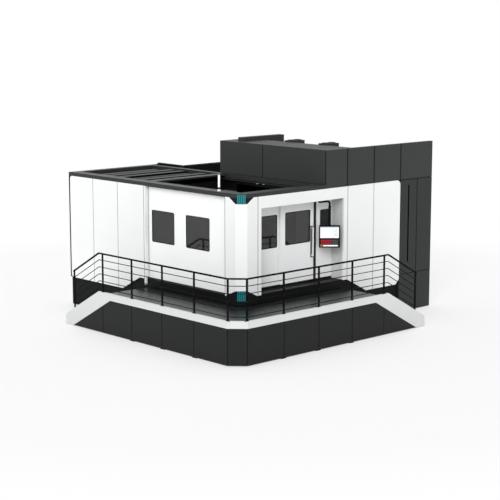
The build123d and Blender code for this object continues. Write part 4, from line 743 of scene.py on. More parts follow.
class SCENE_OT_machine_finishes(bpy.types.Operator):
    """Paint, coat and grind every carried-over piece"""

    bl_idname = "scene.machine_finishes"
    bl_label = "Machine finishes"

    def execute(self, context):
        look = context.scene.machine_finish
        smooth, grain = look.coat_roughness, look.grain
        table_low, table_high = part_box("rotary_table")
        white, black, charcoal = look.white, look.black, look.charcoal
        finishes = {
            powder_coat("white_panels", white, smooth, grain, dust=0.12): (
                "loading_side_panels",
                "corner_cover",
                "operator_surround",
                "operator_side_panels",
                "rear_panels",
                "operator_door_handle",
            ),
            powder_coat("rear_roof", shade(black, 0.8), 0.6, grain, gloss=0.0): ("rear_roof_panels",),
            powder_coat("recess_lining", look.lining, smooth, grain): ("recess_lining",),
            # painted light: the loading door takes a lighter copy of the white paint, standing in for light
            # that its recess under the beam holds off
            powder_coat("loading_door_painted_light", shade(white, 1.12), smooth, grain): ("loading_door",),
            # painted light: a lighter white for the leaves in the shaded recess
            powder_coat("inner_doors", look.inner_doors, smooth, grain): (
                "fixed_door_panels",
                "operator_door",
            ),
            powder_coat("platform_band", look.band, smooth, grain, dust=0.3): ("platform_fascia",),
            # painted light and shade: the tower takes a lighter and the cabinet a darker copy of the one
            # charcoal paint
            speckled_coat("charcoal_coat_painted_light", shade(charcoal, 1.1), 0.5, grain): ("tower_panels", "tower_roof"),
            speckled_coat("cabinet_coat_painted_shade", shade(charcoal, 0.85), 0.5, grain): (
                "cabinet_body",
                "cabinet_door_left",
                "cabinet_door_right",
            ),
            speckled_coat("cladding_coat", look.cladding, 0.45, grain): ("cladding_panels",),
            powder_coat("black_trim", black, 0.35, grain, gloss=0.1): (
                "corner_caps",
                "platform_frame",
                "chip_conveyor",
            ),
            powder_coat("rail_paint", shade(black, 0.3), 0.4, grain, gloss=0.04): (
                "guardrail_posts",
                "guardrail_rails",
                "pendant_arm",
                "pendant_housing",
            ),
            powder_coat("frame_paint", shade(black, 0.8), 0.45, grain, gloss=0.08): ("enclosure_frame",),
            speckled_coat("roof_coat", look.roof, 0.42, grain): ("roof_frame",),
            powder_coat("teal_insert", look.teal, 0.4, grain): ("corner_ribs",),
            deck_sheet("deck_sheet", look.deck): ("deck_plates",),
            tread_plate("tread_plate", look.deck): ("stair_treads",),
            tinted_pane("tinted_pane"): ("loading_door_glass", "operator_door_glass", "fixed_glass"),
            rubber("door_rubber"): ("operator_door_seal",),
            cast_paint("cast_paint", look.casting): ("machine_bed", "table_base", "column", "magazine_stand"),
            cast_paint("head_paint", look.head): ("headstock", "milling_head"),
            turned_table("turned_table", (table_low + table_high) / 2): ("rotary_table",),
            ground_steel("ground_ram", (0.56, 0.57, 0.58), 0.28): ("ram", "spindle", "magazine_disc"),
            ground_steel("ground_ways", (0.5, 0.51, 0.52), 0.24, (400, 6, 400)): (
                "column_guides",
                "headstock_guides",
                "levelling_feet",
            ),
            wall_sheet("wall_sheet", look.walls, look.hollow): ("work_area_walls",),
            ground_steel("tool_steel", (0.3, 0.3, 0.31), 0.3, (90, 6, 90)): ("face_mill", "magazine_tools"),
            powder_coat("tank_paint", look.lining, 0.5, grain, dust=0.4): ("coolant_tank",),
            plastic("drive_casing", (0.07, 0.075, 0.08)): ("cabinet_drives",),
            glowing("light_lens", (0.86, 0.88, 0.88), 0.15): ("status_light",),
            plastic("key_pad", (0.012, 0.012, 0.013)): ("pendant_keys",),
            plastic("stop_plastic", (0.6, 0.04, 0.02), 0.25): ("emergency_stop",),
            screen_picture("screen_picture"): ("pendant_screen",),
        }
        for material, nodes in finishes.items():
            for node in nodes:
                paint(node, material)
        for index in range(1, 5):
            node = f"roof_slat_{index}"
            paint(node, barred_slat(f"{node}_coat", look.slat, look.hollow, *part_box(node)))
        self.painted_shade_faces(look)
        self.groove_shade(look)
        self.jamb(look)
        return {"FINISHED"}

    def painted_shade_faces(self, look):
        """Painted shade: near-black paint on faces behind the rear walls, over the recess and in a door's
        grip, where no light reaches.
        """
        dark = powder_coat("inner_faces_painted_shade", look.hollow, 0.6, look.grain, gloss=0.0)
        paint_faces("rear_panels", dark, lambda centre, normal: normal.y < -aligned or normal.z > aligned)
        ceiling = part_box("recess_lining")[1].z - 0.01
        paint_faces("recess_lining", dark, lambda centre, normal: normal.z > aligned and centre.z > ceiling)
        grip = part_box("cabinet_door_left")[0].y + 0.004
        paint_faces("cabinet_door_left", dark, lambda centre, normal: normal.y < -aligned and centre.y > grip)

    def groove_shade(self, look):
        """Painted shade: darker paint between the ribs of the teal inserts."""
        groove = powder_coat("insert_groove_painted_shade", shade(look.teal, 0.25), 0.5, look.grain, gloss=0.1)
        low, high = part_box("corner_ribs")
        outward = Vector((low.y - high.y, low.x - high.x, 0)).normalized()
        crest = max(vert.co.dot(outward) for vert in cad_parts["corner_ribs"].data.vertices)
        depth = 0.002
        paint_faces("corner_ribs", groove, lambda centre, normal: centre.dot(outward) < crest - depth)

    def jamb(self, look):
        """White post at the end of the loading door's opening."""
        white = powder_coat("jamb_face", shade(look.white, 0.93), look.coat_roughness, look.grain)
        opening_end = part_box("loading_door")[1].y
        reach, bottom = 0.08, 1.3

        def shows(centre, normal):
            beside = abs(centre.y - opening_end) < reach and centre.z > bottom
            return beside and normal.x + normal.y < -aligned

        paint_faces("enclosure_frame", white, shows)


class SCENE_OT_window_gaskets(bpy.types.Operator):
    """Put a rubber gasket round every pane"""

    bl_idname = "scene.window_gaskets"
    bl_label = "Window gaskets"

    def execute(self, context):
        sizes = context.scene.machine_windows
        black = rubber("gasket_rubber")
        for node, body, normal in (
            ("loading_door_glass", "loading_door", to_left),
            ("operator_door_glass", "operator_door", to_front),
            ("fixed_glass", machine_body, to_front),
        ):
            mesh = bmesh.new()
            for low, high in islands(node):
                self.gasket(mesh, low, high, normal, sizes)
            piece(f"{node}_gasket", mesh, body, "rubber_seal", black)
        return {"FINISHED"}

    def gasket(self, mesh, low, high, normal, sizes):
        """One rounded frame: it grips the pane's edge and laps over the leaf's face."""
        middle = (low + high) / 2
        face = (low if normal.x + normal.y < 0 else high).dot(abs_vector(normal))
        across = to_top.cross(normal)
        width = (high - low).dot(abs_vector(across))
        height = high.z - low.z
        centre = middle - normal * normal.dot(middle) + abs_vector(normal) * face
        inner, outer = -sizes.gasket_width, sizes.gasket_width * 0.35
        lip = sizes.inset + sizes.gasket_lip
        profile = (
            (inner, -0.001),
            (inner, sizes.inset * 0.3),
            (inner * 0.55, sizes.inset),
            (-0.001, lip),
            (outer * 0.8, lip),
            (outer, lip - sizes.gasket_lip * 0.5),
            (outer, sizes.inset),
            (-0.0006, sizes.inset),
            (-0.0006, -0.001),
        )
        ring(mesh, facing(centre, normal), width, height, sizes.corner, profile)


def abs_vector(vector):
    """The same axis, pointing the positive way."""
    return Vector(abs(value) for value in vector)


def panel_frame(node, turn):
    """Place on the pendant's face over the middle of a CAD node: X across, Y up, Z out of the face."""
    low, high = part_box(node)
    out = Vector((-math.sin(turn), -math.cos(turn), 0))
    across = Vector((math.cos(turn), -math.sin(turn), 0))
    middle = (low + high) / 2
    return shift(middle) @ Matrix((across, (0, 0, 1), out)).transposed().to_4x4()


class SCENE_OT_panel_joints(bpy.types.Operator):
    """Press a joint strip into every upright seam between two panels"""

    bl_idname = "scene.panel_joints"
    bl_label = "Panel joints"

    shortest = 0.1  # length of the shortest seam that gets a strip
    flush = 0.002  # how far the faces of two panels of one wall may differ
    edge_room = 0.004  # faces nearer to the part's outline stay bare
    end_gap = 0.004  # how much shorter a strip is than its seam

    def execute(self, context):
        sizes = context.scene.machine_joints
        pale = rubber("pale_joint", sizes.pale, 1.4)
        black = rubber("black_joint", sizes.black, 1.4)
        for name, nodes, lap, material in (
            ("loading_side", ("loading_side_panels",), sizes.pale_lap, pale),
            ("operator_side", ("operator_surround", "operator_side_panels"), sizes.pale_lap, pale),
            ("rear", ("rear_panels",), sizes.pale_lap, pale),
            ("tower", ("tower_panels",), sizes.dark_lap, black),
            ("cladding", ("cladding_panels",), sizes.cladding_lap, black),
        ):
            mesh = bmesh.new()
            boxes = [box for node in nodes for box in islands(node)]
            for index, first in enumerate(boxes):
                for second in boxes[index + 1 :]:
                    self.joint(mesh, first, second, lap, sizes, inside=name != "rear")
            piece(f"{name}_joints", mesh, machine_body, "rubber_seal", material)
        self.corner(sizes, pale)
        return {"FINISHED"}

    def joint(self, mesh, first, second, lap, sizes, inside):
        """One strip on each face where two panels of a wall stand side by side.

        Short seams, faces that aren't flush and faces at the part's outline get none. Without inside,
        only the faces towards +X and +Y get one.
        """
        for along, other in ((0, 1), (1, 0)):
            left, right = sorted((first, second), key=lambda box: box[0][along])
            gap = right[0][along] - left[1][along]
            bottom, top = max(left[0].z, right[0].z), min(left[1].z, right[1].z)
            if not (0 < gap < sizes.widest_gap and top - bottom > self.shortest):
                continue
            for side, sign in ((0, -1), (1, 1)) if inside else ((1, 1),):
                face, limit = left[side][other], (cad_low, cad_high)[side][other]
                if abs(face - right[side][other]) > self.flush or abs(face - limit) < self.edge_room:
                    continue
                point, normal = Vector((0, 0, (bottom + top) / 2)), Vector((0, 0, 0))
                point[along] = (left[1][along] + right[0][along]) / 2
                point[other] = face
                normal[other] = sign
                section = self.section(gap, lap, sizes.crown)
                strip(mesh, facing(point, normal), section, top - bottom - self.end_gap)

    def section(self, gap, lap, crown):
        """A crowned cap with a barbed stem."""
        wide, stem = gap / 2 + lap, gap / 2 - 0.0004
        cap = ((wide, 0.0001), (wide * 0.9, crown * 0.7), (wide * 0.5, crown))
        barbs = ((0.5, 0.0001), (1, -0.004), (0.5, -0.005), (1, -0.009), (0.4, -0.011))
        under = [(stem * part, out) for part, out in barbs]
        left = [(-across, out) for across, out in (*reversed(cap), *under)]
        return [*cap, *left, *reversed(under)]

    def corner(self, sizes, material):
        """Strips down both edges of the corner column's cover."""
        low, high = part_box("corner_cover")
        middle = (low.z + high.z) / 2
        mesh = bmesh.new()
        seam = 0.006
        section = self.section(seam, sizes.corner_lap, sizes.crown)
        for point, normal in (
            (Vector((low.x, high.y + seam / 2, middle)), to_left),
            (Vector((high.x + seam / 2, low.y, middle)), to_front),
        ):
            strip(mesh, facing(point, normal), section, high.z - low.z - self.end_gap)
        piece("corner_cover_joints", mesh, machine_body, "rubber_seal", material)


class SCENE_OT_edge_trims(bpy.types.Operator):
    """Put a dark profile down the loading side's far edge and a seal round each cabinet door"""

    bl_idname = "scene.edge_trims"
    bl_label = "Edge trims"

    def execute(self, context):
        sizes = context.scene.machine_joints
        black = rubber("trim_rubber", sizes.black, 1.4)
        self.end_trim(sizes, black)
        for node in ("cabinet_door_left", "cabinet_door_right"):
            self.door_seal(node, sizes, black)
        return {"FINISHED"}

    def end_trim(self, sizes, material):
        """Profile down the far edge, rounded where it runs under the roof's beam."""
        low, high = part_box("loading_side_panels")
        reach, thick = sizes.trim_radius, 0.003
        edge, top = high.y - 0.001, high.z - 0.001
        outline = [(edge, low.z), (edge, top)]
        parts = 8
        for step in range(parts + 1):
            turn = math.pi / 2 * (1 - step / parts)
            inner = edge - sizes.trim_width - reach
            outline.append((inner + reach * math.cos(turn), top - reach + reach * math.sin(turn)))
        outline.append((edge - sizes.trim_width, low.z))
        place = facing(Vector((low.x - thick / 2, 0, 0)), to_top, to_right)
        mesh = bmesh.new()
        strip(mesh, place, [(-y, z) for y, z in outline], thick)
        bmesh.ops.bevel(mesh, geom=mesh.edges[:], offset=0.0008, segments=1, affect="EDGES")
        piece("loading_side_trim", mesh, machine_body, "rubber_seal", material)

    def door_seal(self, node, sizes, material):
        """Lipped profile gripped round a door's edge."""
        low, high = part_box(node)
        middle = (low + high) / 2
        lap = sizes.seal_lap
        profile = (
            (-lap, 0.0001),
            (-lap * 0.85, 0.0012),
            (-0.001, 0.0022),
            (0.0012, 0.0014),
            (0.0014, -0.004),
            (0.001, -0.01),
            (0.0002, -0.01),
            (0.0002, 0.0001),
        )
        mesh = bmesh.new()
        place = facing(Vector((middle.x, low.y, middle.z)), to_front)
        ring(mesh, place, high.x - low.x, high.z - low.z, 0.003, profile)
        piece(f"{node}_seal", mesh, node, "rubber_seal", material)


class SCENE_OT_platform_fittings(bpy.types.Operator):
    """Screw down the guardrail posts, the deck plates and the cladding"""

    bl_idname = "scene.platform_fittings"
    bl_label = "Platform fittings"

    def execute(self, context):
        sizes = context.scene.machine_fittings
        black = powder_coat("fitting_paint", (0.003, 0.003, 0.003), 0.4, 0.002, gloss=0.1)
        screws = ground_steel("screw_steel", (0.12, 0.12, 0.125), 0.35)
        self.posts(sizes, black, screws)
        self.deck(sizes, screws)
        self.cladding(sizes, screws)
        return {"FINISHED"}

    def posts(self, sizes, black, steel):
        """Foot plate with two screws under each post, and a screw where each rail crosses it."""
        rail_depth, clearance, deck_level = 0.06, 0.03, 1.0
        plate_width, thick, screw_share = 0.044, 0.008, 0.38
        level_rails = [box for box in islands("guardrail_rails") if box[1].z - box[0].z < rail_depth]
        levels = sorted({round((low.z + high.z) / 2, 3) for low, high in level_rails})
        plates, screws = bmesh.new(), bmesh.new()
        for low, high in islands("guardrail_posts"):
            middle = (low + high) / 2
            along = to_back if high.y - low.y > high.x - low.x else to_right
            outward = to_left if along.y else to_front
            face = Vector((low.x, middle.y, 0)) if along.y else Vector((middle.x, low.y, 0))
            for level in levels:
                if low.z + clearance < level < high.z - clearance:
                    bolt(screws, facing(face + level * to_top, outward), sizes.screw)
            if low.z < deck_level:
                continue
            foot = Vector((middle.x, middle.y, low.z))
            place = facing(foot + thick / 2 * to_top, to_top, outward)
            slab(plates, place, (sizes.foot_plate, plate_width, thick), 0.003)
            for side in (-1, 1):
                point = foot + thick * to_top + along * (side * sizes.foot_plate * screw_share)
                bolt(screws, facing(point, to_top, outward), sizes.screw)
        piece("post_feet", plates, machine_body, "black_paint", black)
        piece("post_screws", screws, machine_body, "black_paint", steel)

    def deck(self, sizes, steel):
        """Rows of flat screws along the edges of each deck plate."""
        mesh = bmesh.new()
        margin = Vector((0.05, 0.05, 0))
        sunk, head, sides = 0.0004, 0.003, 10
        for low, high in islands("deck_plates"):
            inner_low, inner_high = low + margin, high - margin
            counts = [max(1, math.ceil(reach / sizes.deck_pitch)) for reach in (inner_high - inner_low).xy]
            spots = set()
            for step in range(counts[0] + 1):
                x = inner_low.x + (inner_high.x - inner_low.x) * step / counts[0]
                spots |= {(x, inner_low.y), (x, inner_high.y)}
            for step in range(counts[1] + 1):
                y = inner_low.y + (inner_high.y - inner_low.y) * step / counts[1]
                spots |= {(inner_low.x, y), (inner_high.x, y)}
            for x, y in sorted(spots):
                if on_deck(x, y):
                    bolt(mesh, shift((x, y, high.z - sunk)), sizes.screw, head, sides)
        piece("deck_screws", mesh, machine_body, "black_paint", steel)

    def cladding(self, sizes, steel):
        """A screw near each corner of each flat cladding panel, but none in a stair panel's slope."""
        mesh = bmesh.new()
        flat, full_height, slope, head = 0.1, 0.8, 0.5, 0.004
        for low, high in islands("cladding_panels"):
            width, depth = high.x - low.x, high.y - low.y
            if min(width, depth) > flat:
                continue
            outward = to_left if depth > width else to_front
            along = 1 if depth > width else 0
            for end in (low[along] + sizes.screw_inset, high[along] - sizes.screw_inset):
                for level in (low.z + sizes.screw_inset, high.z - sizes.screw_inset):
                    if high.z < full_height and level > slope:
                        continue
                    point = Vector((low.x, low.y, level))
                    point[along] = end
                    bolt(mesh, facing(point, outward), sizes.screw, head)
        piece("cladding_screws", mesh, machine_body, "black_paint", steel)


def on_deck(x, y):
    """Whether a deck plate's sheet lies under a point."""
    deck, start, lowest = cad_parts["deck_plates"], 2, 0.9
    hit, spot, _, _ = deck.ray_cast(deck.matrix_world.inverted() @ Vector((x, y, start)), to_floor)
    return hit and spot.z > lowest


class SCENE_OT_wing_fittings(bpy.types.Operator):
    """Fold standing seams and a rim on the rear roof, and screw the rear panels"""

    bl_idname = "scene.wing_fittings"
    bl_label = "Wing fittings"

    def execute(self, context):
        sizes = context.scene.machine_fittings
        look = context.scene.machine_finish
        self.seams(sizes, powder_coat("seam_coat", shade(look.black, 1.2), 0.5, look.grain, gloss=0.0))
        self.rim(speckled_coat("rim_coat", look.roof, 0.45, look.grain))
        self.screws(sizes, ground_steel("panel_screw_steel", (0.3, 0.3, 0.31), 0.35))
        return {"FINISHED"}

    def seams(self, sizes, material):
        """Standing seams along the roof sheets: an upright web with a rolled top."""
        mesh = bmesh.new()
        web = ((-0.016, 0), (-0.003, 0.002), (-0.003, 0.022), (-0.007, 0.026), (-0.005, 0.033))
        roll = ((0.001, 0.035), (0.006, 0.032), (0.006, 0.027), (0.003, 0.024), (0.003, 0.002), (0.016, 0))
        end_room = 0.06
        for low, high in islands("rear_roof_panels"):
            count = max(1, round((high.x - low.x) / sizes.seam_pitch))
            for step in range(count):
                x = low.x + (high.x - low.x) * (step + 0.5) / count
                place = facing(Vector((x, (low.y + high.y) / 2, high.z)), to_top, to_back)
                strip(mesh, place, web + roll, high.y - low.y - 2 * end_room)
        piece("roof_seams", mesh, machine_body, "frame_paint", material)

    def rim(self, material):
        """Low kerb with a rounded top along the roof's outer edges."""
        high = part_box("rear_roof_panels")[1]
        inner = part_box("tower_panels")[1].y
        section = ((-0.02, 0), (-0.02, 0.03), (-0.014, 0.04), (0.014, 0.04), (0.02, 0.03), (0.02, 0))
        mesh = bmesh.new()
        sheets = islands("rear_roof_panels")
        step, right, inset = sheets[0][1].y, sheets[1][1].x, 0.021
        for first, second in (
            ((high.x - inset, inner), (high.x - inset, step - inset)),
            ((high.x, step - inset), (right, step - inset)),
            ((right - inset, step), (right - inset, high.y)),
        ):
            first, second = Vector((*first, high.z)), Vector((*second, high.z))
            place = facing((first + second) / 2, to_top, (second - first).normalized())
            strip(mesh, place, section, (second - first).length - 0.002)
        piece("roof_rim", mesh, machine_body, "frame_paint", material)

    def screws(self, sizes, material):
        """Screws down both edges of the rear panels that stand inside the part's outline."""
        mesh = bmesh.new()
        flat, edge_room, margin, spaces, head = 0.06, 0.01, 0.08, 5, 0.004
        for low, high in islands("rear_panels"):
            if high.y - low.y > flat or high.y > cad_high.y - edge_room:
                continue
            for x in (low.x + sizes.screw_inset, high.x - sizes.screw_inset):
                for step in range(spaces + 1):
                    level = low.z + margin + (high.z - low.z - 2 * margin) * step / spaces
                    bolt(mesh, facing(Vector((x, high.y, level)), to_back), sizes.screw, head)
        piece("rear_screws", mesh, machine_body, "bare_steel", material)


class SCENE_OT_head_fittings(bpy.types.Operator):
    """Fit screws, nozzles, a cap and cutting inserts to the milling head and its spindle"""

    bl_idname = "scene.head_fittings"
    bl_label = "Head fittings"

    def execute(self, context):
        sizes = context.scene.machine_fittings
        steel = ground_steel("socket_steel", (0.2, 0.2, 0.21), 0.3)
        low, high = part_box("milling_head")
        nose_low, nose_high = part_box("spindle")
        axis = (nose_low + nose_high) / 2
        bottom = Vector((axis.x, axis.y, low.z))
        ram_low, ram_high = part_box("ram")
        flange_inset, cap_radius = 0.06, 0.15
        flange = Vector((high.x - flange_inset, axis.y, (ram_low.z + ram_high.z) / 2))
        nose_radius = (nose_high.x - nose_low.x) / 2
        self.flange_screws(flange, (high.y - low.y) / 2 * 0.9, sizes, steel)
        self.cap(Vector((axis.x, axis.y, high.z)), cap_radius, sizes, steel)
        self.nozzles(bottom, nose_radius, steel)
        self.nose(Vector((axis.x, axis.y, nose_low.z)), nose_radius, sizes, steel)
        self.inserts()
        self.wiper(ram_low, ram_high, sizes, steel)
        return {"FINISHED"}

    def flange_screws(self, middle, radius, sizes, steel):
        """Screws on the swivel flange, beside the neck."""
        mesh = bmesh.new()
        pitch = math.radians(17)
        for side in (-1, 1):
            for step in range(-2, 3):
                turn = pitch * step
                offset = Vector((0, side * radius * math.cos(turn), radius * math.sin(turn)))
                bolt(mesh, facing(middle + offset, to_left), sizes.flange_screw)
        piece("head_flange_screws", mesh, "head", "bare_steel", steel)

    def cap(self, top, radius, sizes, steel):
        """Domed cover with a lifting eye on top of the head."""
        mesh = bmesh.new()
        dome = ((0.97, 0), (0.97, 0.006), (0.9, 0.014), (0.6, 0.026), (0.2, 0.03))
        boss = ((0.12, 0.03), (0.12, 0.042), (0.08, 0.045))
        lathe(mesh, shift(top), [(radius * part, height) for part, height in dome + boss], 40)
        count, seat, eye_level, eye = 8, 0.014, 0.068, 0.05
        for spot in around(count, 0.88 * radius, 22.5):
            bolt(mesh, shift(top + spot + seat * to_top), sizes.screw * 0.8)
        ring(mesh, facing(top + eye_level * to_top, to_back), eye, eye, eye / 2, wire(0.007, 10))
        piece("head_cap", mesh, "head", "bare_steel", steel)

    def nozzles(self, bottom, inner, steel):
        """Coolant nozzles round the spindle's nose."""
        mesh = bmesh.new()
        foot = ((0.013, 0), (0.013, 0.008), (0.009, 0.011), (0.011, 0.016))
        tip = ((0.009, 0.021), (0.011, 0.026), (0.004, 0.046))
        count, room, lean = 6, 0.021, 0.2
        for spot in around(count, inner + room, 30):
            inward = (to_floor - lean * spot.normalized()).normalized()
            lathe(mesh, facing(bottom + spot, inward, to_back), foot + tip, 12)
        piece("coolant_nozzles", mesh, "head", "bare_steel", steel)

    def nose(self, middle, radius, sizes, steel):
        """Screws and two drive keys on the spindle's nose."""
        mesh = bmesh.new()
        down = facing(middle, to_floor, to_back)
        for spot in around(8, 0.82 * radius, 22.5):
            bolt(mesh, down @ shift(spot), sizes.flange_screw * 0.8)
        reach, key = 0.055, (0.026, 0.02, 0.014)
        for side in (-1, 1):
            slab(mesh, down @ shift((side * reach, 0, 0.006)), key, 0.002)
        piece("spindle_nose_fittings", mesh, "spindle", "bare_steel", steel)

    def inserts(self):
        """Carbide inserts with their clamp screws in the face mill's pockets."""
        low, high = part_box("face_mill")
        middle, radius = (low + high) / 2, (high.y - low.y) / 2
        mesh = bmesh.new()
        pockets, seat, side, thick = 6, radius - 0.0075, 0.012, 0.004
        for turn in turns(pockets):
            place = shift((middle.x, middle.y, low.z + 0.007)) @ spin(turn)
            slab(mesh, place @ shift((seat, 0.004, 0)), (side, thick, side), 0.001)
            bolt(mesh, place @ facing(Vector((seat, 0.002, 0)), to_front), 0.0025, 0.001, 8)
        carbide = ground_steel("carbide", (0.55, 0.42, 0.16), 0.3)
        piece("face_mill_inserts", mesh, "spindle", "tool_steel", carbide)

    def wiper(self, low, high, sizes, steel):
        """Bolted wiper frame where the ram leaves the headstock."""
        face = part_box("headstock")[0].x
        middle = Vector((face, (low.y + high.y) / 2, (low.z + high.z) / 2))
        room, screw_reach, thick = 0.012, 0.044, 0.012
        width, height = high.y - low.y + room, high.z - low.z + room
        place = facing(middle, to_left)
        mesh = bmesh.new()
        profile = ((0, 0), (0, 0.006), (0.01, thick), (0.034, thick), (0.038, 0.008), (0.038, 0))
        ring(mesh, place, width, height, 0.01, profile)
        for across in (-0.5, 0, 0.5):
            for up in (-0.5, 0, 0.5):
                if across or up:
                    spot = (across * (width + screw_reach), up * (height + screw_reach), thick)
                    bolt(mesh, place @ shift(spot), sizes.screw)
        piece("ram_wiper", mesh, "headstock", "bare_steel", steel)


class SCENE_OT_tool_holders(bpy.types.Operator):
    """Turn the magazine's tools: taper, flange with its groove, and a cutter of its own for each place"""

    bl_idname = "scene.tool_holders"
    bl_label = "Tool holders"

    def execute(self, context):
        taper = ((0.02, 0), (0.024, 0.004), (0.024, 0.016), (0.034, 0.018), (0.05, 0.1))
        rim = 0.0615
        flange = ((rim, 0.11), (0.052, 0.115), (0.052, 0.121), (rim, 0.126), (rim, 0.135), (0.044, 0.137))
        cutters = (
            ((0.044, 0.17), (0.03, 0.178), (0.012, 0.18), (0.012, 0.235), (0.002, 0.249)),
            ((0.044, 0.16), (0.05, 0.165), (0.058, 0.2), (0.058, 0.222), (0.05, 0.226), (0.02, 0.226)),
            ((0.04, 0.185), (0.034, 0.19), (0.02, 0.191), (0.02, 0.24), (0.018, 0.248), (0.004, 0.248)),
        )
        holders, tips = bmesh.new(), bmesh.new()
        for index, (low, high) in enumerate(islands("magazine_tools")):
            middle = (low + high) / 2
            place = facing(Vector((middle.x, high.y, middle.z)), to_front)
            collet, nut, *cutter = cutters[index % len(cutters)]
            lathe(holders, place, (*taper, (rim, 0.101), *flange, collet, nut, (0.006, nut[1])), 28)
            lathe(tips, place, ((nut[0] * 0.6, nut[1] - 0.004), *cutter), 20)
        holder_steel = ground_steel("holder_steel", (0.5, 0.5, 0.51), 0.24, (90, 6, 90))
        tip_steel = ground_steel("cutter_steel", (0.3, 0.27, 0.2), 0.3, (90, 90, 90))
        piece("tool_holders", holders, "magazine", "tool_steel", holder_steel, replaced=("magazine_tools",))
        piece("tool_tips", tips, "magazine", "tool_steel", tip_steel)
        return {"FINISHED"}


class SCENE_OT_small_fittings(bpy.types.Operator):
    """Add fan guards, pump motors, lamps, the arm's sleeve, the handle's fittings and the light's collar"""

    bl_idname = "scene.small_fittings"
    bl_label = "Small fittings"

    def execute(self, context):
        sizes = context.scene.machine_fittings
        black = plastic("fitting_black", (0.004, 0.004, 0.0045), 0.4)
        self.fan_guards(black)
        self.pumps()
        self.lamps(sizes, black)
        self.sleeve(sizes)
        self.handle()
        self.collar(black)
        return {"FINISHED"}

    def fan_guards(self, black):
        """Ring guards with spokes and a hub on the tower's units."""
        mesh = bmesh.new()
        lift, spokes, spoke = 0.012, 6, (0.075, 0.004, 0.004)
        for low, high in islands("tower_roof"):
            unit = 0.3 < high.x - low.x < 0.6 and 0.2 < high.y - low.y < 0.4
            if not unit:
                continue
            for part in (0.27, 0.73):
                x = low.x + (high.x - low.x) * part
                top = shift((x, (low.y + high.y) / 2, high.z + lift))
                for radius in (0.035, 0.055, 0.075, 0.095, 0.108):
                    ring(mesh, top, 2 * radius, 2 * radius, radius, wire(0.003, 6))
                for turn in turns(spokes):
                    slab(mesh, top @ spin(turn) @ shift((0.071, 0, 0)), spoke, 0.0008)
                lathe(mesh, top @ shift((0, 0, -lift)), ((0.034, 0), (0.034, lift), (0.026, 0.018)), 20)
        piece("fan_guards", mesh, machine_body, "black_paint", black)

    def pumps(self):
        """Fins, a fan cowl and a terminal box on each pump's motor."""
        low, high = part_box("coolant_tank")
        middle = (low + high) / 2
        mesh = bmesh.new()
        spacing, motor_height, fins, fin = 0.36, 0.42, 20, (0.016, 0.004, 0.24)
        for offset in (-spacing, 0, spacing):
            foot = shift((middle.x + offset, middle.y, high.z - motor_height))
            for turn in turns(fins):
                slab(mesh, foot @ spin(turn) @ shift((0.096, 0, 0.19)), fin, 0.001)
            cowl = ((0.1, 0.33), (0.106, 0.335), (0.106, 0.4), (0.09, 0.4195), (0.04, 0.4195), (0.03, 0.415))
            lathe(mesh, foot, cowl)
            lathe(mesh, foot, ((0.12, 0), (0.12, 0.014), (0.112, 0.02), (0.09, 0.02)))
            slab(mesh, foot @ shift((0, -0.125, 0.2)), (0.09, 0.05, 0.07), 0.006, 3)
        motor = cast_paint("motor_paint", (0.03, 0.07, 0.11))
        piece("pump_motors", mesh, machine_body, "drive_casing", motor)

    def lamps(self, sizes, black):
        """Sealed tube lamps on brackets high on the work area's walls."""
        low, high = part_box("work_area_walls")
        level, sheet, reach = 3.12, 0.006, sizes.lamp_length
        housings, lenses = bmesh.new(), bmesh.new()
        for point, normal in (
            (Vector((high.x - sheet, low.y + 1.0, level)), to_left),
            (Vector((-1.6, high.y - sheet, level)), to_front),
        ):
            place = facing(point, normal)
            slab(housings, place @ shift((0, 0, 0.02)), (reach, 0.07, 0.03), 0.008, 3)
            for side in (-1, 1):
                end = place @ shift((side * reach * 0.46, 0, 0.036))
                slab(housings, end, (0.05, 0.08, 0.03), 0.006)
                bolt(housings, end @ shift((0, 0, 0.015)), sizes.screw)
            slab(lenses, place @ shift((0, 0, 0.036)), (reach * 0.87, 0.05, 0.022), 0.009, 4)
        piece("lamp_housings", housings, machine_body, "black_paint", black)
        lens = glowing("lamp_lens", (0.9, 0.93, 0.95), sizes.lamp_strength)
        piece("lamp_lenses", lenses, machine_body, "light_lens", lens)

    def sleeve(self, sizes):
        """Corrugated sleeve down the upright part of the pendant's arm."""
        low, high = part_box("pendant_arm")
        tube, outside = (high.y - low.y) / 2, sizes.sleeve
        height, end, pitch = 0.02, 0.44, 0.011
        profile = [(tube + 0.001, 0), (outside, 0), (outside, height)]
        while height < end:
            profile += [(outside - 0.006, height + 0.003), (outside - 0.001, height + 0.008)]
            height += pitch
        profile += [(outside, height), (outside, height + 0.02), (tube + 0.001, height + 0.022)]
        mesh = bmesh.new()
        lathe(mesh, shift((high.x - tube, (low.y + high.y) / 2, low.z + 0.01)), profile, 24)
        black = rubber("sleeve_rubber", (0.003, 0.003, 0.003))
        piece("arm_sleeve", mesh, "pendant_arm", "rubber_seal", black)

    def handle(self):
        """Rosettes under the handle's studs, caps on its ends and a pad behind it. The grey pad is painted
        shade: the handle's shadow on the door.
        """
        low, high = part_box("operator_door_handle")
        radius = (high.x - low.x) / 2
        centre = (low.x + high.x) / 2
        mesh = bmesh.new()
        stud_inset, cap_end = 0.05, 0.002
        for level in (low.z + stud_inset, high.z - stud_inset):
            rosette = ((0.03, 0), (0.03, 0.003), (0.026, 0.006), (radius * 0.8, 0.008))
            lathe(mesh, facing(Vector((centre, high.y - 0.0002, level)), to_front), rosette, 24)
        cap = ((radius + 0.0015, 0), (radius + 0.0015, 0.024), (radius, 0.026), (radius, 0.004))
        for level, way in ((low.z - cap_end, 1), (high.z + cap_end, -1)):
            place = facing(Vector((centre, low.y + radius, level)), Vector((0, 0, way)), to_back)
            lathe(mesh, place, cap, 24)
        # painted shade: the grey pad stands for the handle's shadow on the white door
        pad = Vector((centre, high.y - 0.0015, (low.z + high.z) / 2))
        slab(mesh, shift(pad), (0.074, 0.003, high.z - low.z + 0.03), 0.001)
        grey = plastic("handle_grey", (0.16, 0.165, 0.165), 0.4)
        piece("handle_fittings", mesh, "operator_door", "black_paint", grey)

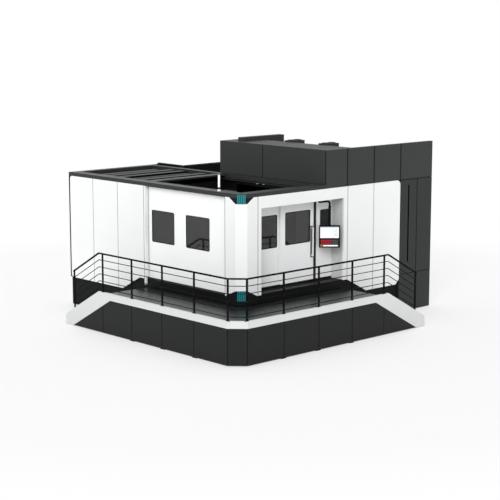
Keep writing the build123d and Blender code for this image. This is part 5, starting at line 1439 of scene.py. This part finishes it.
    def collar(self, black):
        """Dark collar between the status light's lens and its foot."""
        low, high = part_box("status_light")
        middle, radius = (low + high) / 2, (high.x - low.x) / 2
        inside, outside = radius * 0.9, radius + 0.002
        foot = ((inside, 0.053), (radius + 0.001, 0.055), (outside, 0.06))
        profile = (*foot, (outside, 0.094), (inside, 0.098))
        mesh = bmesh.new()
        lathe(mesh, shift((middle.x, middle.y, low.z)), profile)
        piece("light_collar", mesh, machine_body, "black_paint", black)


class SCENE_OT_pendant_keys(bpy.types.Operator):
    """Set the key caps, the light strip, the rim and the stop button of the pendant"""

    bl_idname = "scene.pendant_keys"
    bl_label = "Pendant keys"

    def execute(self, context):
        sizes = context.scene.machine_pendant
        pad = panel_frame("pendant_keys", sizes.turn)
        self.caps(sizes, pad)
        self.light(pad)
        self.rim(sizes)
        self.stop(sizes, pad)
        return {"FINISHED"}

    def caps(self, sizes, pad):
        """Two blocks of key caps, dished a little by their bevel."""
        lift = sizes.key_height / 2 + 0.001
        split = sizes.red_columns
        for name, columns, material in (
            ("red_key_caps", range(split), plastic("red_keys", sizes.red, 0.3)),
            ("grey_key_caps", range(split, sizes.key_columns), plastic("grey_keys", sizes.grey, 0.35)),
        ):
            mesh = bmesh.new()
            for column in columns:
                for row in range(sizes.key_rows):
                    across = (column - (sizes.key_columns - 1) / 2) * sizes.key_pitch
                    up = (row - (sizes.key_rows - 2) / 2) * sizes.row_pitch
                    place = pad @ shift((across, up, lift))
                    slab(mesh, place, (sizes.key_size, sizes.key_size, sizes.key_height), 0.0012)
            piece(name, mesh, "pendant", "key_pad", material)

    def light(self, pad):
        """Lit strip with a shallow tray round it, along the bottom of the pad."""
        place = pad @ shift((0.025, -0.07, 0.002))
        mesh = bmesh.new()
        slab(mesh, place, (0.36, 0.014, 0.006), 0.002, 3)
        ring(mesh, place, 0.37, 0.024, 0.004, ((-0.001, 0), (-0.001, 0.003), (0.004, 0.003), (0.005, 0)))
        lens = glowing("strip_lens", (0.9, 0.92, 0.92), 0.7)
        piece("pendant_light_strip", mesh, "pendant", "screen_glass", lens)

    def rim(self, sizes):
        """Dark rims round the housing's face and round the screen."""
        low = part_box("pendant_housing")[0]
        face = panel_frame("pendant_screen", sizes.turn)
        screen_low, screen_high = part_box("pendant_screen")
        width = math.hypot(screen_high.x - screen_low.x, screen_high.y - screen_low.y)
        margin = (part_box("pendant_keys")[0].z - low.z) / 2
        top_room, side_room, depth = 0.019, 0.0265, 0.006
        body_low = low.z + 0.0005
        body_high = screen_high.z + margin + top_room
        outer_width = width + 2 * side_room
        rise = (body_low + body_high) / 2 - (screen_low.z + screen_high.z) / 2
        middle = face @ shift((0, rise, 0.003))
        mesh = bmesh.new()
        profile = (
            (-sizes.bezel, 0),
            (-sizes.bezel, 0.002),
            (-sizes.bezel * 0.7, 0.0035),
            (-0.001, 0.0035),
            (0.0015, 0.001),
            (0.0015, -depth),
            (0.0002, -depth),
            (0.0002, 0),
        )
        ring(mesh, middle, outer_width, body_high - body_low, 0.012, profile)
        shell = plastic("rim_plastic", (0.004, 0.004, 0.0045), 0.4)
        piece("pendant_rim", mesh, "pendant", "pendant_shell", shell)
        mesh = bmesh.new()
        profile = ((-0.006, 0), (-0.004, 0.0025), (0.003, 0.0025), (0.005, 0))
        ring(mesh, face, width, screen_high.z - screen_low.z, 0.003, profile)
        trim = plastic("screen_rim_plastic", (0.01, 0.01, 0.011))
        piece("screen_rim", mesh, "pendant", "pendant_shell", trim)

    def stop(self, sizes, pad):
        """Mushroom cap on its stem, and the yellow collar behind it."""
        place = panel_frame("emergency_stop", sizes.turn)
        radius = sizes.stop_radius
        low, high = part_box("emergency_stop")
        front = math.hypot(high.x - low.x, high.y - low.y) / 2 - radius * 0.72
        cap = (
            (0.38 * radius, front - 0.026),
            (0.38 * radius, front - 0.014),
            (0.9 * radius, front - 0.013),
            (radius, front - 0.009),
            (0.98 * radius, front - 0.005),
            (0.86 * radius, front - 0.002),
            (0.5 * radius, front),
            (0.2 * radius, front),
        )
        mesh = bmesh.new()
        lathe(mesh, place, cap)
        red = plastic("stop_cap", sizes.stop_red, 0.22)
        piece("stop_mushroom", mesh, "emergency_stop", "stop_button", red, replaced=("emergency_stop",))
        base = pad.inverted() @ place.translation
        mesh = bmesh.new()
        collar = (
            (1.35 * radius, 0),
            (1.35 * radius, 0.0012),
            (1.1 * radius, 0.003),
            (0.6 * radius, 0.003),
            (0.6 * radius, 0),
        )
        lathe(mesh, pad @ shift((base.x, base.y, 0.001)), collar, hollow=True)
        piece("stop_collar", mesh, "pendant", "key_pad", plastic("stop_yellow", sizes.collar_yellow, 0.3))


class SCENE_OT_machine_stage(bpy.types.Operator):
    """Set up the floor, the lights and the camera"""

    bl_idname = "scene.machine_stage"
    bl_label = "Machine stage"

    def execute(self, context):
        stage = context.scene.machine_stage
        scene = context.scene
        scene.view_settings.view_transform = "Standard"
        self.make_floor(scene, stage)
        self.make_sky(scene, stage)
        self.make_key(scene, stage)
        self.make_camera(scene, stage)
        return {"FINISHED"}

    def make_floor(self, scene, stage):
        """Pale floor that melts into white far out, and keeps the shadow near by."""
        mesh = bmesh.new()
        bmesh.ops.create_grid(mesh, x_segments=1, y_segments=1, size=stage.floor_size / 2)
        data = bpy.data.meshes.new("studio_floor")
        mesh.to_mesh(data)
        mesh.free()
        finish = Finish("studio_floor", roughness=0.9, specular_ior_level=0.1)
        cloud = finish.noise(0.3, 2.0)
        finish.tint(cloud, stage.floor_colour, 0.99, 1)
        reach = finish.vector("LENGTH", finish.place)["Value"]
        fade = {"Value": reach, "From Min": stage.floor_fade, "From Max": 2 * stage.floor_fade}
        far = finish.add("MapRange", {"interpolation_type": "SMOOTHSTEP"}, fade)[0]
        white = far.math("MAXIMUM", stage.floor_lift)
        seen = finish.add("LightPath")["Is Camera Ray"]
        glow = finish.add("Emission", {}, {"Strength": 1.0})[0]
        mix = finish.add("MixShader", {}, {0: white * seen, 1: finish.shader[0], 2: glow})[0]
        finish.feed(finish.out.node.inputs[0], mix)
        data.materials.append(finish.material)
        floor = bpy.data.objects.new("studio_floor", data)
        floor.location.z = cad_low.z - 0.001
        scene.collection.objects.link(floor)
        floor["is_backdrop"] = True

    def make_sky(self, scene, stage):
        """Even light on the object, and white behind it and in what it mirrors."""
        world = bpy.data.worlds.new("studio_sky")
        sky = Nodes(world)
        path, white = sky.add("LightPath"), (1, 1, 1, 1)
        seen = path["Is Camera Ray"].math("MAXIMUM", path["Is Glossy Ray"])
        seen = seen.math("MAXIMUM", path["Is Transmission Ray"])
        light = sky.add("Background", {}, {"Color": white, "Strength": stage.sky_strength})[0]
        backdrop = sky.add("Background", {}, {"Color": white})[0]
        mix = sky.add("MixShader", {}, {0: seen, 1: light, 2: backdrop})[0]
        sky.add("OutputWorld", {}, {0: mix})
        scene.world = world

    def make_key(self, scene, stage):
        """Soft sun from the left."""
        lamp = bpy.data.lights.new("soft_key", "SUN")
        lamp.energy = stage.key_strength
        lamp.angle = stage.key_spread
        key = bpy.data.objects.new("soft_key", lamp)
        key.rotation_euler = Vector(stage.key_way).to_track_quat("-Z", "Y").to_euler()
        scene.collection.objects.link(key)

    def make_camera(self, scene, stage):
        """Camera at the photograph's view."""
        lens = bpy.data.cameras.new("photo_view")
        lens.lens = stage.focal_length
        lens.clip_end = 500
        camera = bpy.data.objects.new("photo_view", lens)
        camera.location = stage.camera_place
        camera.rotation_euler = (math.pi / 2 + stage.camera_pitch, 0, -stage.camera_yaw)
        scene.collection.objects.link(camera)
        scene.camera = camera


class VIEW3D_PT_machining_centre(bpy.types.Panel):
    """Lists the machining centre's steps and their sizes"""

    bl_label = "Machining centre"
    bl_space_type = "VIEW_3D"
    bl_region_type = "UI"
    bl_category = "Machining centre"

    def draw(self, context):
        for kind in steps:
            self.layout.operator(kind.bl_idname)
        for name, kind in settings.items():
            for prop in kind.__annotations__:
                self.layout.prop(getattr(context.scene, name), prop)


settings = {
    "machine_finish": FinishSettings,
    "machine_stage": StageSettings,
    "machine_windows": WindowSettings,
    "machine_joints": JointSettings,
    "machine_fittings": FittingSettings,
    "machine_pendant": PendantSettings,
}
steps = (
    SCENE_OT_machine_stage,
    SCENE_OT_machine_finishes,
    SCENE_OT_window_gaskets,
    SCENE_OT_panel_joints,
    SCENE_OT_edge_trims,
    SCENE_OT_platform_fittings,
    SCENE_OT_wing_fittings,
    SCENE_OT_head_fittings,
    SCENE_OT_tool_holders,
    SCENE_OT_small_fittings,
    SCENE_OT_pendant_keys,
)


def register():
    for kind in (*settings.values(), *steps, VIEW3D_PT_machining_centre):
        bpy.utils.register_class(kind)
    for name, kind in settings.items():
        setattr(bpy.types.Scene, name, PointerProperty(type=kind))


def unregister():
    for name in settings:
        delattr(bpy.types.Scene, name)
    for kind in reversed((*settings.values(), *steps, VIEW3D_PT_machining_centre)):
        bpy.utils.unregister_class(kind)


def main():
    """Build everything in order."""
    register()
    bpy.ops.scene.machine_stage()
    bpy.ops.scene.machine_finishes()
    bpy.ops.scene.window_gaskets()
    bpy.ops.scene.panel_joints()
    bpy.ops.scene.edge_trims()
    bpy.ops.scene.platform_fittings()
    bpy.ops.scene.wing_fittings()
    bpy.ops.scene.head_fittings()
    bpy.ops.scene.tool_holders()
    bpy.ops.scene.small_fittings()
    bpy.ops.scene.pendant_keys()


if __name__ == "__main__":
    main()
